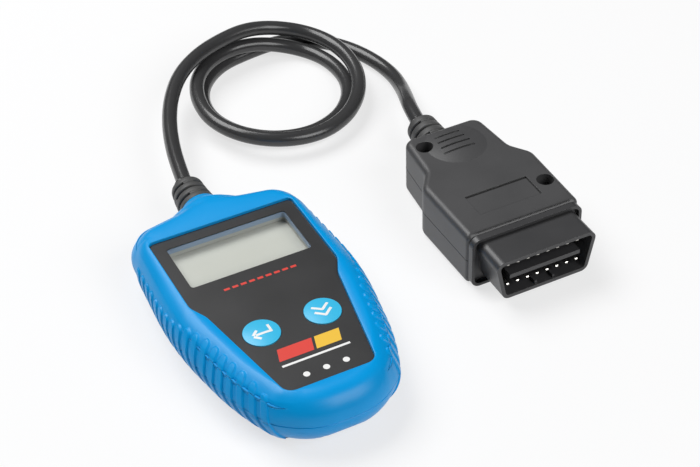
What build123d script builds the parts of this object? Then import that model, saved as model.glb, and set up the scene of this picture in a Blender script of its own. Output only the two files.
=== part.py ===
from build123d import *
import math
import os

# A handheld diagnostic code reader: a two-piece case with a window and two keys, and a coiled
# cable that ends in a sixteen-pin vehicle plug.  Millimetres; +Z up, +Y towards the cable.
# The origin is on the floor, under the middle of the reader's case.

past = 1.0                    # how far a cutting shape runs past the face that it opens
sink = 0.2                    # how far a joined shape reaches into its neighbour

# ---------------------------------------------------------------- reader case
case_height = 21.9            # floor to the rim round the faceplate
parting_height = 12.4         # joint between the rear and the front cover
case_wall = 2.2
case_floor = 2.2              # thickness of the rear cover's back
deck_round = 5.5              # rounding of the front cover's upper edge
belly_round = 11.0            # rounding of the rear cover's lower edge
keel_y, keel_radius = -42.75, 24.0      # the back sweeps up from here to the foot end

# right-hand corners of the case outline, from the cable end to the heel, with their radii
roof_y = 57.43                # the top edge's height on the centre line, inside the collar
shoulder_x, shoulder_y, shoulder_radius = 32.13, 50.92, 12.5
hip_x, hip_y, hip_radius = 36.12, -0.62, 130.0
thigh_x, thigh_y, thigh_radius = 29.77, -36.98, 100.0
heel_x, heel_y, heel_radius = 23.11, -51.55, 12.0
toe_x, toe_y, toe_radius = 11.68, -61.05, 25.8

lip_height = 1.2              # locating lip of the rear cover, inside the front cover's rebate
lip_share = 0.5               # share of the wall that the lip takes
lip_clearance = 0.08

groove_count = 17             # grooves down each side, which leave the grip ribs
groove_radius = 1.45
groove_outset = 0.85          # how far the groove's axis stands outside the case
groove_first = 48.6           # distance along the outline to the first groove
groove_pitch_first, groove_pitch_last = 5.0, 5.35
groove_foot = 4.0             # lowest level of the grooves
groove_top_first, groove_top_last = 15.5, 19.0

collar_end_y = 61.05
collar_root_y = 50.0
collar_end_radius, collar_root_radius = 7.7, 9.2
cable_height = 12.5           # level of the cable's axis where it leaves the case

# ---------------------------------------------------------------- faceplate and window
faceplate_thickness = 0.5
faceplate_sunk = 1.05         # the faceplate's top below the rim
deck_thickness = 2.0          # front cover's wall under the faceplate
faceplate_clearance = 0.10
plate_top_x, plate_top_y, plate_top_radius = 27.3, 39.05, 2.0
plate_waist_x, plate_waist_y, plate_waist_radius = 27.4, 1.6, 7.0
plate_neck_x, plate_neck_y, plate_neck_radius = 24.1, -5.2, 9.0
plate_foot_x, plate_foot_y, plate_foot_radius = 15.9, -49.65, 4.0

window_width, window_length, window_radius = 45.2, 22.95, 1.2
window_y = 22.9
lens_thickness = 1.1
lens_ledge = 0.4
lens_clearance = 0.05

# ---------------------------------------------------------------- keys
key_radius = 6.35
key_spacing = 22.28
key_y = -19.95
key_clearance = 0.15
key_proud = 0.25              # edge of the key above the faceplate
key_dome = 0.55               # rise of the key's crown
key_flange_radius, key_flange_thickness = 7.4, 1.5
key_flange_gap = 0.2          # flange to the underside of the front cover
key_stem_radius = 2.2
key_travel = 0.5

# ---------------------------------------------------------------- display and board
board_thickness = 1.6
board_depth = 6.95            # from the front cover's inner face down to the board
board_top_half, board_top_y = 28.0, 40.0
board_waist_y = -5.0
board_foot_half, board_foot_y = 19.0, -44.5
board_radii = [2.0, 4.0, 2.0]
backlight_thickness = 2.3
glass_width, glass_length, glass_thickness = 50.0, 27.0, 2.6
glass_contact_strip = 3.0     # width of the glass edge that stands on the contact strips
contact_strip_width, contact_strip_end_gap = 2.0, 2.0
backlight_side_gap, backlight_radius = 1.0, 1.0
bezel_wall, bezel_radius = 2.0, 1.0
bezel_clearance = 0.1
bezel_opening_margin = 0.2    # the bezel opening is this much larger than the window all round

switch_size, switch_height, switch_bevel = 6.0, 3.5, 0.5
plunger_radius, plunger_clearance = 1.7, 0.05
plunger_proud = 0.9
plunger_depth, plunger_floor_gap = 1.5, 0.2

chip_bevel = 0.2
controller_size, controller_thickness = 10.0, 1.4
controller_y = -4.0
lead_count, lead_pitch, lead_width, lead_reach, lead_thickness = 11, 0.8, 0.35, 1.0, 0.2
transceiver_width, transceiver_length, transceiver_thickness = 4.0, 5.0, 1.5
transceiver_x = 14.5
transceiver_lead_count, transceiver_lead_pitch = 4, 1.27
regulator_width, regulator_length, regulator_thickness = 6.6, 6.2, 2.3
regulator_x, regulator_y, regulator_bevel = 9.5, -34.5, 0.3
regulator_tab_width, regulator_tab_reach, regulator_tab_thickness = 5.3, 1.2, 0.6
crystal_length, crystal_width, crystal_height = 11.0, 4.6, 3.6
crystal_x, crystal_y = -8.3, -35.3
capacitor_radius, capacitor_height = 2.5, 5.4
crimp_low, crimp_height, crimp_depth = 1.2, 0.4, 0.25
capacitor_places = [(0.5, -32.5), (0.5, -39.0)]

header_width, header_length, header_height = 14.0, 6.0, 4.9
header_inset = 1.0            # from the board's cable edge to the header's mouth
header_wall, header_back_wall = 0.4, 1.5
header_plug_length = 4.4      # of the plug outside the header
header_plug_clearance, header_plug_end_gap = 0.05, 0.5
wire_radius = 0.6
wire_count, wire_pitch = 5, 2.2
jacket_wire_pitch = 1.25      # between the cores where they leave the cable's jacket

# ---------------------------------------------------------------- fasteners of the reader
case_screw_places = [(24.5, 44.6), (17.0, -49.4)]      # mirrored in x
case_screw_radius, case_screw_head_radius, case_screw_head_height = 1.3, 2.5, 2.0
case_screw_sink = 3.6         # level of the heads, above the back
case_screw_bite = 5.2         # length in the front cover's pillar
pillar_radius = 3.2
boss_radius = 3.9
board_screw_places = [(24.0, 2.6), (15.2, -39.6)]      # mirrored in x
board_screw_radius, board_screw_head_radius, board_screw_head_height = 0.9, 1.9, 1.3
board_screw_bite = 4.5
standoff_radius = 2.5
thread_clearance = 0.03
hole_clearance = 0.2
# of a screw's head: its bevel and the cross recess, as shares of the head's height or radius
head_bevel_share, recess_depth_share, recess_reach_share, recess_half_share = 0.25, 0.5, 0.6, 0.13

label_width, label_length, label_thickness = 38.0, 30.0, 0.3
label_radius, label_sink, label_y = 2.5, 0.1, 4.0

# ---------------------------------------------------------------- cable and its boots
cable_radius = 2.95
boot_neck_radius, boot_neck_clearance = 5.6, 0.1
boot_flange_half_width, boot_flange_half_height, boot_flange_thickness = 7.6, 5.7, 1.9
plug_flange_gap = 0.2
reader_flange_gap = 1.5       # clears the rounding inside the rear cover
boot_root_radius, boot_tip_radius = 7.35, 5.85
boot_core_radius = 4.8
boot_bore_clearance = 0.08
boot_ring_gap = 0.9
boot_face_gap = 0.1           # boot to the face that it leaves
cable_tail = 0.9              # jacket past the boot's flange, inside

reader_boot_length, reader_boot_rings = 14.5, 4
plug_boot_length, plug_boot_rings = 18.5, 5

# ---------------------------------------------------------------- vehicle plug
plug_x, plug_y = 94.1, -23.85       # plug's own origin: middle of the pin tips' line
plug_height = 22.0
plug_parting = 10.8
plug_wall = 2.0
plug_round = 2.4
plug_cable_height = 11.5
shell_front_y = 12.5
shell_front_half, shell_front_radius = 22.6, 1.6
shell_back_half, shell_back_y, shell_back_radius = 23.1, 44.8, 6.0
shell_waist_half, shell_waist_y, shell_waist_radius = 17.7, 52.4, 7.0
shell_end_half, shell_end_y, shell_end_radius = 15.8, 73.0, 4.5

thumb_pad_radius, thumb_pad_rise = 11.5, 1.3
thumb_pad_x, thumb_pad_y = 0.3, 61.5
pad_groove_count, pad_groove_pitch = 4, 3.2
pad_groove_x, pad_groove_y = -0.4, 62.1          # middle of the four grooves
pad_groove_width, pad_groove_depth = 0.9, 0.9
pad_groove_front_length, pad_groove_back_length = 13.0, 10.3
recess_width, recess_length, recess_depth = 25.2, 11.2, 0.5
recess_x, recess_y = 0.1, 26.9

plug_screw_places = [(-10.9, 65.0), (17.8, 27.4)]
plug_screw_radius, plug_screw_head_radius, plug_screw_head_height = 1.15, 2.8, 1.8
plug_counterbore_radius, plug_counterbore_floor = 3.2, 13.0
plug_boss_radius = 4.4
plug_screw_bite, plug_screw_end_gap = 7.2, 0.5

# ---------------------------------------------------------------- shroud and pins
shroud_top_half, shroud_bottom_half = 20.5, 17.0
shroud_bottom, shroud_top = 3.0, 19.8
shroud_radius, shroud_wall = 3.0, 1.4
shroud_front_y = -3.1
flange_half, flange_low, flange_high, flange_radius = 22.3, 0.5, 21.5, 3.4
flange_front_y, flange_back_y = 9.8, 12.3
flange_rim, flange_sunk = 1.2, 1.6
carrier_half, carrier_low, carrier_high, carrier_back_y = 18.6, 3.4, 18.8, 20.5
carrier_clearance = 0.1
lock_clearance, lock_thickness, lock_face_gap = 0.3, 1.6, 0.2
mouth_floor = 1.2             # thickness of the mouth's end wall, in the flange
tongue_half, tongue_low, tongue_high, tongue_front_y = 14.2, 10.95, 12.65, -2.2
key_rib_x, key_rib_width, key_rib_height, key_rib_front_y = 3.6, 0.9, 1.2, -2.4
pin_pitch, pins_in_row = 4.0, 8
pin_width, pin_height = 1.5, 0.9
pin_rows = (7.04, 15.96)
pin_tip_y, pin_tail_y, pin_tip_chamfer = 1.1, 22.6, 0.3
plug_wire_pins = [(-6.0, 7.04), (-2.0, 7.04), (6.0, 7.04), (2.0, 15.96), (6.0, 15.96)]
plug_wire_spread = 1.5

# ---------------------------------------------------------------- free cable
# control points of the two uncoiled stretches; each one starts or ends at a boot's tip
lead_in_points = [
    (2.0, 88.6, 12.5), (6.6, 103.0, 11.0), (12.5, 118.5, 8.0), (19.5, 134.0, 5.0),
    (30.0, 148.5, 4.3), (44.5, 160.5, 4.3),
]
lead_out_points = [
    (86.5, 149.5, 3.0), (97.0, 140.0, 3.0), (104.5, 128.0, 3.0), (107.8, 115.0, 3.0),
    (106.3, 102.0, 4.4), (101.8, 90.6, 8.2), (95.9, 79.8, 11.3),
]
coil_x, coil_y = 61.5, 124.9
coil_outer_x, coil_outer_y = 37.2, 44.6
coil_hole_x, coil_hole_y, coil_hole_shift = 23.6, 27.0, -1.5
coil_height, coil_edge_round = 12.6, 2.5
smallest_bend_diameters = 3.0


# ================================================================ helpers
def write(shape, name):
    """One STEP file per node."""
    shape.label = name
    export_step(shape, f"parts/{name}.step")


def fitted_radii(corners, radii):
    """The corner radii, made smaller where two neighbours would need more than their run."""
    points = [Vector(*c) for c in corners]
    tangents = []
    for before, corner, after, radius in zip(points, points[1:], points[2:], radii):
        turn = 180 - (before - corner).get_angle(after - corner)
        tangents.append(radius * math.tan(math.radians(turn / 2)))
    fitted = list(radii)
    runs = [(b - a).length for a, b in zip(points, points[1:])]
    needs = [0] + tangents + [0]
    for i, run in enumerate(runs):
        used = needs[i] + needs[i + 1]
        if used > 0.98 * run:
            for corner in (i - 1, i):
                if 0 <= corner < len(fitted):
                    fitted[corner] = min(fitted[corner], radii[corner] * 0.98 * run / used)
    return fitted


def mirrored_face(corners, radii):
    """A face symmetric about x = 0, from its right-hand corners; the first and last are on x = 0."""
    line = FilletPolyline(*corners, radius=fitted_radii(corners, radii))
    return make_face([*line.edges(), *mirror(line, about=Plane.YZ).edges()])


def rising(face, bottom, top):
    """A prism of the face between two levels."""
    return Pos(0, 0, bottom) * extrude(face, amount=top - bottom, dir=(0, 0, 1))


def edges_at(solid, level):
    """All the edges that lie flat at one level."""
    return solid.edges().filter_by_position(Axis.Z, level - 0.001, level + 0.001)


def block(x0, x1, y0, y1, z0, z1):
    """A box between two corners."""
    size = Box(x1 - x0, y1 - y0, z1 - z0)
    return Pos((x0 + x1) / 2, (y0 + y1) / 2, (z0 + z1) / 2) * size


def rod(x, y, z0, z1, radius):
    """An upright cylinder between two levels."""
    return Pos(x, y, (z0 + z1) / 2) * Cylinder(radius, z1 - z0)


def along_y(x, y0, y1, z, start_radius, end_radius=None):
    """A cylinder or a cone along +Y."""
    plane = Plane(origin=(x, (y0 + y1) / 2, z), x_dir=(1, 0, 0), z_dir=(0, 1, 0))
    if end_radius is None or end_radius == start_radius:
        return plane * Cylinder(start_radius, y1 - y0)
    return plane * Cone(start_radius, end_radius, y1 - y0)


def both_sides(places):
    """The places and their mirror images in x."""
    return [(side * x, y) for x, y in places for side in (1, -1)]


def rounded_block(width, length, radius, x, y, z0, z1):
    """A prism of a rounded rectangle."""
    return Pos(x, y, z0) * extrude(RectangleRounded(width, length, radius), amount=z1 - z0)


def tube(points, radius):
    """A wire: straight runs joined by arcs, as a round bar."""
    path = FilletPolyline(*points, radius=bend_radii(points))
    section = Plane(origin=path @ 0, z_dir=path % 0) * Circle(radius)
    return sweep(section, path=path)


def bend_radii(points):
    """Each bend as large as its two runs allow."""
    places = [Vector(*p) for p in points]
    radii = []
    for before, corner, after in zip(places, places[1:], places[2:]):
        run = min((corner - before).length, (after - corner).length)
        turn = (corner - before).get_angle(after - corner)
        radii.append(0.45 * run / math.tan(math.radians(turn / 2)))
    return radii


# ================================================================ case
case_corners = [
    (0, roof_y), (shoulder_x, shoulder_y), (hip_x, hip_y), (thigh_x, thigh_y),
    (heel_x, heel_y), (toe_x, toe_y), (0, toe_y),
]
case_radii = [shoulder_radius, hip_radius, thigh_radius, heel_radius, toe_radius]
case_outline = mirrored_face(case_corners, case_radii)
case_inside = offset(case_outline, amount=-case_wall)
roof_slope = (roof_y - shoulder_y) / shoulder_x

recess_floor = case_height - faceplate_sunk - faceplate_thickness
faceplate_top = recess_floor + faceplate_thickness
ceiling = recess_floor - deck_thickness
board_top = ceiling - board_depth
board_bottom = board_top - board_thickness


def keel(inset):
    """All that lies above the back's upward sweep at the foot end; inset moves the sweep inwards."""
    reach = 2 * hip_x
    bow = Pos(0, keel_y, keel_radius) * Rot(0, 90, 0) * Cylinder(keel_radius - inset, 2 * reach)
    return bow + block(-reach, reach, keel_y, 2 * roof_y, inset, 2 * keel_radius)


def collar_cone():
    """The outside of the cable collar."""
    return along_y(0, collar_root_y, collar_end_y, cable_height, collar_root_radius, collar_end_radius)


def collar_bore():
    """The way of the boot's neck through the collar."""
    radius = boot_neck_radius + boot_neck_clearance
    return along_y(0, collar_root_y - 2 * past, collar_end_y + past, cable_height, radius)


def grip_grooves():
    """Upright half-round cutters down both sides of the case."""
    line = FilletPolyline(*case_corners, radius=fitted_radii(case_corners, case_radii))
    cutters = []
    distance = groove_first
    for i in range(groove_count):
        share = i / (groove_count - 1)
        place = line.position_at(distance, position_mode=PositionMode.LENGTH)
        run = line.tangent_at(distance, position_mode=PositionMode.LENGTH)
        outward = Vector(-run.Y, run.X, 0)
        if outward.X < 0:
            outward = outward * -1
        axis = place + outward * groove_outset
        top = groove_top_first + share * (groove_top_last - groove_top_first)
        for side in (1, -1):
            cutters.append(rod(side * axis.X, axis.Y, groove_foot, top, groove_radius))
        distance += groove_pitch_first + share * (groove_pitch_last - groove_pitch_first)
    return cutters


def lip_ring(grow, height):
    """The ring at the joint where the two covers locate; grow thickens it outwards."""
    outside = offset(case_outline, amount=-case_wall * (1 - lip_share) + grow)
    ring = rising(outside, parting_height, parting_height + height)
    ring -= rising(case_inside, parting_height - past, parting_height + height + past)
    half_gap = collar_root_radius + 2 * past
    return ring - block(-half_gap, half_gap, collar_root_y - 2 * past, roof_y, parting_height - past, ceiling)


def front_cover():
    """Upper shell with the faceplate's recess, window, key holes, pillars and half the collar."""
    outside = rising(case_outline, parting_height, case_height)
    outside = fillet(edges_at(outside, case_height), deck_round)
    reach = 2 * collar_root_radius
    upper_half = block(-reach, reach, collar_root_y, collar_end_y, parting_height, case_height)
    cover = outside + (collar_cone() & upper_half)
    cavity = rising(case_inside, parting_height, ceiling)
    pillars = [rod(x, y, parting_height, ceiling, pillar_radius) for x, y in both_sides(case_screw_places)]
    cover = cover - (cavity - pillars)
    cover -= rising(offset(plate_outline(), amount=faceplate_clearance), recess_floor, case_height + past)
    ledge = 2 * lens_ledge
    cover -= rounded_block(window_width - ledge, window_length - ledge, window_radius, 0, window_y,
                           ceiling - past, case_height)
    cover -= rounded_block(window_width, window_length, window_radius, 0, window_y,
                           faceplate_top - lens_thickness, case_height)
    for side in (1, -1):
        x = side * key_spacing / 2
        cover -= rod(x, key_y, ceiling - past, case_height, key_radius + key_clearance)
    pilot = case_screw_radius + thread_clearance
    for x, y in both_sides(case_screw_places):
        cover -= rod(x, y, parting_height - past, parting_height + case_screw_bite + past, pilot)
    cover -= lip_ring(lip_clearance, lip_height + lip_clearance)
    cover -= grip_grooves()
    return cover - collar_bore()


def rear_cover():
    """Lower shell with screw bosses, board standoffs, label recess and the rest of the collar."""
    outside = rising(case_outline, 0, parting_height)
    outside = fillet(edges_at(outside, 0), belly_round) & keel(0)
    reach = 2 * collar_root_radius
    lower_half = block(-reach, reach, collar_root_y, collar_end_y, 0, parting_height)
    cover = outside + (collar_cone() & lower_half)
    cavity = rising(case_inside, case_floor, parting_height)
    cavity = fillet(edges_at(cavity, case_floor), belly_round - case_wall) & keel(case_floor)
    bosses = [rod(x, y, case_floor, parting_height, boss_radius) for x, y in both_sides(case_screw_places)]
    cover = cover - (cavity - bosses)
    standoffs = [rod(x, y, case_floor - sink, board_bottom, standoff_radius)
                 for x, y in both_sides(board_screw_places)]
    cover = cover + standoffs + lip_ring(0, lip_height)
    for x, y in both_sides(case_screw_places):
        cover -= rod(x, y, -past, parting_height + past, case_screw_radius + hole_clearance)
        cover -= rod(x, y, -past, case_screw_sink + case_screw_head_height,
                     case_screw_head_radius + hole_clearance)
    pilot = board_screw_radius + thread_clearance
    for x, y in both_sides(board_screw_places):
        cover -= rod(x, y, board_bottom - board_screw_bite - past, board_bottom + past, pilot)
    cover -= rounded_block(label_width + 2 * lens_clearance, label_length + 2 * lens_clearance,
                           label_radius, 0, label_y, -past, label_sink + label_thickness)
    cover -= grip_grooves()
    return cover - collar_bore()


def rear_label():
    """A bare plate in the back's shallow recess."""
    return rounded_block(label_width, label_length, label_radius, 0, label_y,
                         label_sink, label_sink + label_thickness)


# ================================================================ faceplate, window, display
def plate_outline():
    """The faceplate: square at the window, waisted, and tapered to the foot."""
    corners = [
        (0, plate_top_y), (plate_top_x, plate_top_y), (plate_waist_x, plate_waist_y),
        (plate_neck_x, plate_neck_y), (plate_foot_x, plate_foot_y), (0, plate_foot_y),
    ]
    radii = [plate_top_radius, plate_waist_radius, plate_neck_radius, plate_foot_radius]
    return mirrored_face(corners, radii)


def faceplate():
    """Printed sheet over the front, open at the window and the keys."""
    plate = rising(plate_outline(), recess_floor, faceplate_top)
    plate -= rounded_block(window_width, window_length, window_radius, 0, window_y,
                           recess_floor - past, faceplate_top + past)
    for side in (1, -1):
        x = side * key_spacing / 2
        plate -= rod(x, key_y, recess_floor - past, faceplate_top + past, key_radius + key_clearance)
    return plate


def screen_window():
    """Clear lens, flush with the faceplate, on its ledge in the front cover."""
    smaller = 2 * lens_clearance
    return rounded_block(window_width - smaller, window_length - smaller, window_radius, 0, window_y,
                         faceplate_top - lens_thickness, faceplate_top)


backlight_top = board_top + backlight_thickness
glass_top = backlight_top + glass_thickness
strip_y = glass_length / 2 - glass_contact_strip / 2


def lcd_backlight():
    """White light guide under the middle of the glass."""
    length = glass_length - 2 * glass_contact_strip
    width = glass_width - 2 * backlight_side_gap
    return rounded_block(width, length, backlight_radius, 0, window_y, board_top, backlight_top)


def lcd_glass():
    """Display cell of two glass plates."""
    half_width, half_length = glass_width / 2, glass_length / 2
    return block(-half_width, half_width, window_y - half_length, window_y + half_length,
                 backlight_top, glass_top)


def lcd_contact_strips():
    """Elastomer strips that join the glass to the board, one along each long edge."""
    half_width = glass_width / 2 - contact_strip_end_gap
    strips = []
    for side in (1, -1):
        y = window_y + side * strip_y
        strips.append(block(-half_width, half_width, y - contact_strip_width / 2,
                            y + contact_strip_width / 2, board_top, backlight_top))
    return Compound(children=strips)


def lcd_bezel():
    """Frame round the glass, with a lip over its edge that reaches up to the front cover."""
    inner_width = glass_width + 2 * bezel_clearance
    inner_length = glass_length + 2 * bezel_clearance
    top = ceiling - bezel_clearance
    frame = rounded_block(inner_width + 2 * bezel_wall, inner_length + 2 * bezel_wall, bezel_radius,
                          0, window_y, board_top, top)
    pocket = Pos(0, window_y, board_top) * extrude(Rectangle(inner_width, inner_length),
                                                   amount=glass_top + bezel_clearance - board_top)
    margin = 2 * bezel_opening_margin
    opening = rounded_block(window_width + margin, window_length + margin, window_radius,
                            0, window_y, board_top, top + past)
    return frame - pocket - opening


# ================================================================ keys and switches
key_flange_top = ceiling - key_flange_gap
key_edge = faceplate_top + key_proud
switch_top = board_top + switch_height
plunger_top = switch_top + plunger_proud


def key(side):
    """A domed key with its retaining flange and the stem that presses the switch."""
    x = side * key_spacing / 2
    cap = rod(x, key_y, key_flange_top - key_flange_thickness, key_edge, key_radius)
    crown_radius = (key_radius ** 2 + key_dome ** 2) / (2 * key_dome)
    crown = Pos(x, key_y, key_edge + key_dome - crown_radius) * Sphere(crown_radius)
    cap += crown & rod(x, key_y, key_edge - sink, key_edge + 2 * key_dome, key_radius)
    flange_bottom = key_flange_top - key_flange_thickness
    cap += rod(x, key_y, flange_bottom, key_flange_top, key_flange_radius)
    return cap + rod(x, key_y, plunger_top, flange_bottom, key_stem_radius)


def switch_base(side):
    """Body of a push switch, standing on the board."""
    x, half = side * key_spacing / 2, switch_size / 2
    base = block(x - half, x + half, key_y - half, key_y + half, board_top, switch_top)
    base = chamfer(base.edges().filter_by(Axis.Z), switch_bevel)
    depth = plunger_depth + key_travel + plunger_floor_gap
    return base - rod(x, key_y, switch_top - depth, switch_top + past, plunger_radius + plunger_clearance)


def switch_plunger(side):
    """The switch's moving button, under the key's stem."""
    return rod(side * key_spacing / 2, key_y, switch_top - plunger_depth, plunger_top, plunger_radius)


# ================================================================ board and what it carries
def main_board():
    """Circuit board that follows the case, drilled for its screws."""
    corners = [
        (0, board_top_y), (board_top_half, board_top_y), (board_top_half, board_waist_y),
        (board_foot_half, board_foot_y), (0, board_foot_y),
    ]
    board = rising(mirrored_face(corners, board_radii), board_bottom, board_top)
    for x, y in both_sides(board_screw_places):
        board -= rod(x, y, board_bottom - past, board_top + past, board_screw_radius + hole_clearance)
    return board


def leaded_chip(x, y, width, length, thickness, count, pitch, four_sided):
    """A chip body with a row of flat leads along its sides."""
    chip = block(x - width / 2, x + width / 2, y - length / 2, y + length / 2,
                 board_top + lead_thickness / 2, board_top + thickness)
    chip = chamfer(edges_at(chip, board_top + thickness), chip_bevel)
    leads = []
    for i in range(count):
        along = (i - (count - 1) / 2) * pitch
        reach = width / 2 + lead_reach
        leads.append(block(x - reach, x + reach, y + along - lead_width / 2, y + along + lead_width / 2,
                           board_top, board_top + lead_thickness))
        if four_sided:
            reach = length / 2 + lead_reach
            leads.append(block(x + along - lead_width / 2, x + along + lead_width / 2, y - reach,
                               y + reach, board_top, board_top + lead_thickness))
    return chip + leads


def controller_chip():
    """Square processor in the middle of the board."""
    return leaded_chip(0, controller_y, controller_size, controller_size, controller_thickness,
                       lead_count, lead_pitch, True)


def transceiver_chips():
    """Two bus drivers, one at each side of the processor."""
    return Compound(children=[
        leaded_chip(side * transceiver_x, controller_y, transceiver_width, transceiver_length,
                    transceiver_thickness, transceiver_lead_count, transceiver_lead_pitch, False)
        for side in (1, -1)
    ])


def voltage_regulator():
    """Power chip with its cooling tab."""
    x, y = regulator_x, regulator_y
    body = block(x - regulator_width / 2, x + regulator_width / 2, y - regulator_length / 2,
                 y + regulator_length / 2, board_top, board_top + regulator_thickness)
    tab = block(x - regulator_tab_width / 2, x + regulator_tab_width / 2, y + regulator_length / 2,
                y + regulator_length / 2 + regulator_tab_reach, board_top,
                board_top + regulator_tab_thickness)
    return chamfer(edges_at(body, board_top + regulator_thickness), regulator_bevel) + tab


def crystal():
    """Metal can of the clock crystal."""
    can = extrude(SlotOverall(crystal_length, crystal_width), amount=crystal_height)
    return Pos(crystal_x, crystal_y, board_top) * can


def capacitors():
    """Electrolytic capacitors, each with a groove under its top."""
    cans = []
    for x, y in capacitor_places:
        can = rod(x, y, board_top, board_top + capacitor_height, capacitor_radius)
        low, high = board_top + crimp_low, board_top + crimp_low + crimp_height
        ring = rod(x, y, low, high, capacitor_radius + past)
        ring -= rod(x, y, low - past, high + past, capacitor_radius - crimp_depth)
        cans.append(can - ring)
    return Compound(children=cans)


header_y = board_top_y - header_inset
header_bottom = board_bottom - header_height


def cable_header():
    """Socket for the cable's plug, under the board's cable edge."""
    half = header_width / 2
    shell = block(-half, half, header_y - header_length, header_y, header_bottom, board_bottom)
    wall = header_wall
    mouth = block(-half + wall, half - wall, header_y - header_length + header_back_wall,
                  header_y + past, header_bottom + wall, board_bottom - wall)
    return shell - mouth


def cable_header_plug():
    """Plug of the inner wires, seated in the header."""
    wall = header_wall + header_plug_clearance
    half = header_width / 2 - wall
    inner_end = header_y - header_length + header_back_wall + header_plug_end_gap
    return block(-half, half, inner_end, header_y + header_plug_length,
                 header_bottom + wall, board_bottom - wall)


def cable_wires():
    """Insulated cores from the cable's end to the header plug."""
    level = (header_bottom + board_bottom) / 2
    start_y = header_y + header_plug_length
    end_y = reader_cable_tail_y()
    third = (end_y - start_y) / 3
    wires = []
    for i in range(wire_count):
        row = i - (wire_count - 1) / 2
        start_x, end_x = row * wire_pitch, row * jacket_wire_pitch
        wires.append(tube([(start_x, start_y, level), (start_x, start_y + third, level),
                           (end_x, end_y - third, cable_height), (end_x, end_y, cable_height)],
                          wire_radius))
    return Compound(children=wires)


# ================================================================ fasteners
def screw(x, y, head_low, head_high, tip, radius, head_radius, upwards):
    """A recessed-head screw; upwards means that its shank points up."""
    shank = rod(x, y, head_high, tip, radius) if upwards else rod(x, y, tip, head_low, radius)
    head = rod(x, y, head_low, head_high, head_radius)
    face = head_low if upwards else head_high
    head = chamfer(edges_at(head, face), head_bevel_share * (head_high - head_low))
    depth = recess_depth_share * (head_high - head_low)
    low, high = (head_low - past, head_low + depth) if upwards else (head_high - depth, head_high + past)
    arm, half = head_radius * recess_reach_share, head_radius * recess_half_share
    head -= block(x - arm, x + arm, y - half, y + half, low, high)
    head -= block(x - half, x + half, y - arm, y + arm, low, high)
    return head + shank


def case_screws():
    """Screws from the back, through the rear cover into the front cover's pillars."""
    head_high = case_screw_sink + case_screw_head_height
    return Compound(children=[
        screw(x, y, case_screw_sink, head_high, parting_height + case_screw_bite,
              case_screw_radius, case_screw_head_radius, True)
        for x, y in both_sides(case_screw_places)
    ])


def board_screws():
    """Screws that hold the board on the rear cover's standoffs."""
    return Compound(children=[
        screw(x, y, board_top, board_top + board_screw_head_height, board_bottom - board_screw_bite,
              board_screw_radius, board_screw_head_radius, False)
        for x, y in both_sides(board_screw_places)
    ])


# ================================================================ boots and cable
def inner_roof(x):
    """The inner face of the case's cable end at a distance from the centre line."""
    return roof_y - roof_slope * x - case_wall * math.hypot(1, roof_slope)


reader_flange_y = inner_roof(boot_flange_half_width) - reader_flange_gap
plug_flange_y = shell_end_y - plug_wall - plug_flange_gap


def reader_cable_tail_y():
    """Where the cable's jacket ends inside the reader."""
    return reader_flange_y - boot_flange_thickness - cable_tail


def boot(length, rings, flange_front):
    """A flexible strain relief: flange, neck, core and tapering rings, bored for the cable."""
    pitch = (length + boot_ring_gap) / rings
    ring_length = pitch - boot_ring_gap
    taper = (boot_root_radius - boot_tip_radius) / length
    corners = [(0, flange_front - sink), (boot_neck_radius, flange_front - sink), (boot_neck_radius, 0)]
    for i in range(rings):
        start = i * pitch
        end = start + ring_length
        corners += [(boot_root_radius - taper * start, start), (boot_root_radius - taper * end, end)]
        if i < rings - 1:
            corners += [(boot_core_radius, end), (boot_core_radius, end + boot_ring_gap)]
    corners.append((0, length))
    body = revolve(make_face(Polyline(*corners, close=True)), Axis.Y)
    half, tall = boot_flange_half_width, boot_flange_half_height
    flange_back = flange_front - boot_flange_thickness
    body += block(-half, half, flange_back, flange_front, -tall, tall)
    return body - along_y(0, flange_back - past, length + past, 0, cable_radius + boot_bore_clearance)


def held_cable(length, tail):
    """The stretch of cable inside a boot, from its inner end to the boot's tip."""
    return along_y(0, tail, length, 0, cable_radius)


reader_root_y = collar_end_y + boot_face_gap
plug_root_y = shell_end_y + boot_face_gap
reader_root = Pos(0, reader_root_y, cable_height)
plug_root = Pos(plug_x, plug_y + plug_root_y, plug_cable_height)
reader_tip = (0, reader_root_y + reader_boot_length, cable_height)
plug_tip = (plug_x, plug_y + plug_root_y + plug_boot_length, plug_cable_height)


# ================================================================ plug, in its own frame
plug_place = Pos(plug_x, plug_y, 0)
shell_corners = [
    (0, shell_front_y), (shell_front_half, shell_front_y), (shell_back_half, shell_back_y),
    (shell_waist_half, shell_waist_y), (shell_end_half, shell_end_y), (0, shell_end_y),
]
shell_radii = [shell_front_radius, shell_back_radius, shell_waist_radius, shell_end_radius]
shell_outline = mirrored_face(shell_corners, shell_radii)
shell_inside = offset(shell_outline, amount=-plug_wall)


def plug_neck_bore():
    """The way of the boot's neck through the plug's end wall."""
    radius = boot_neck_radius + boot_neck_clearance
    return along_y(0, shell_end_y - plug_wall - past, shell_end_y + past, plug_cable_height, radius)


def carrier_opening():
    """The window in the plug's front wall that holds the shroud's carrier."""
    half = carrier_half + carrier_clearance
    return block(-half, half, shell_front_y - past, shell_front_y + plug_wall + past,
                 carrier_low - carrier_clearance, carrier_high + carrier_clearance)


def thumb_pad():
    """A low dome on the plug's top."""
    sphere_radius = (thumb_pad_radius ** 2 + thumb_pad_rise ** 2) / (2 * thumb_pad_rise)
    dome = Pos(thumb_pad_x, thumb_pad_y, plug_height + thumb_pad_rise - sphere_radius) * Sphere(sphere_radius)
    top = plug_height + 2 * thumb_pad_rise
    slab = rod(thumb_pad_x, thumb_pad_y, plug_height - sink, top, thumb_pad_radius + past)
    inside = rising(offset(shell_outline, amount=-plug_round), plug_height - past, top)
    return dome & slab & inside


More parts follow.
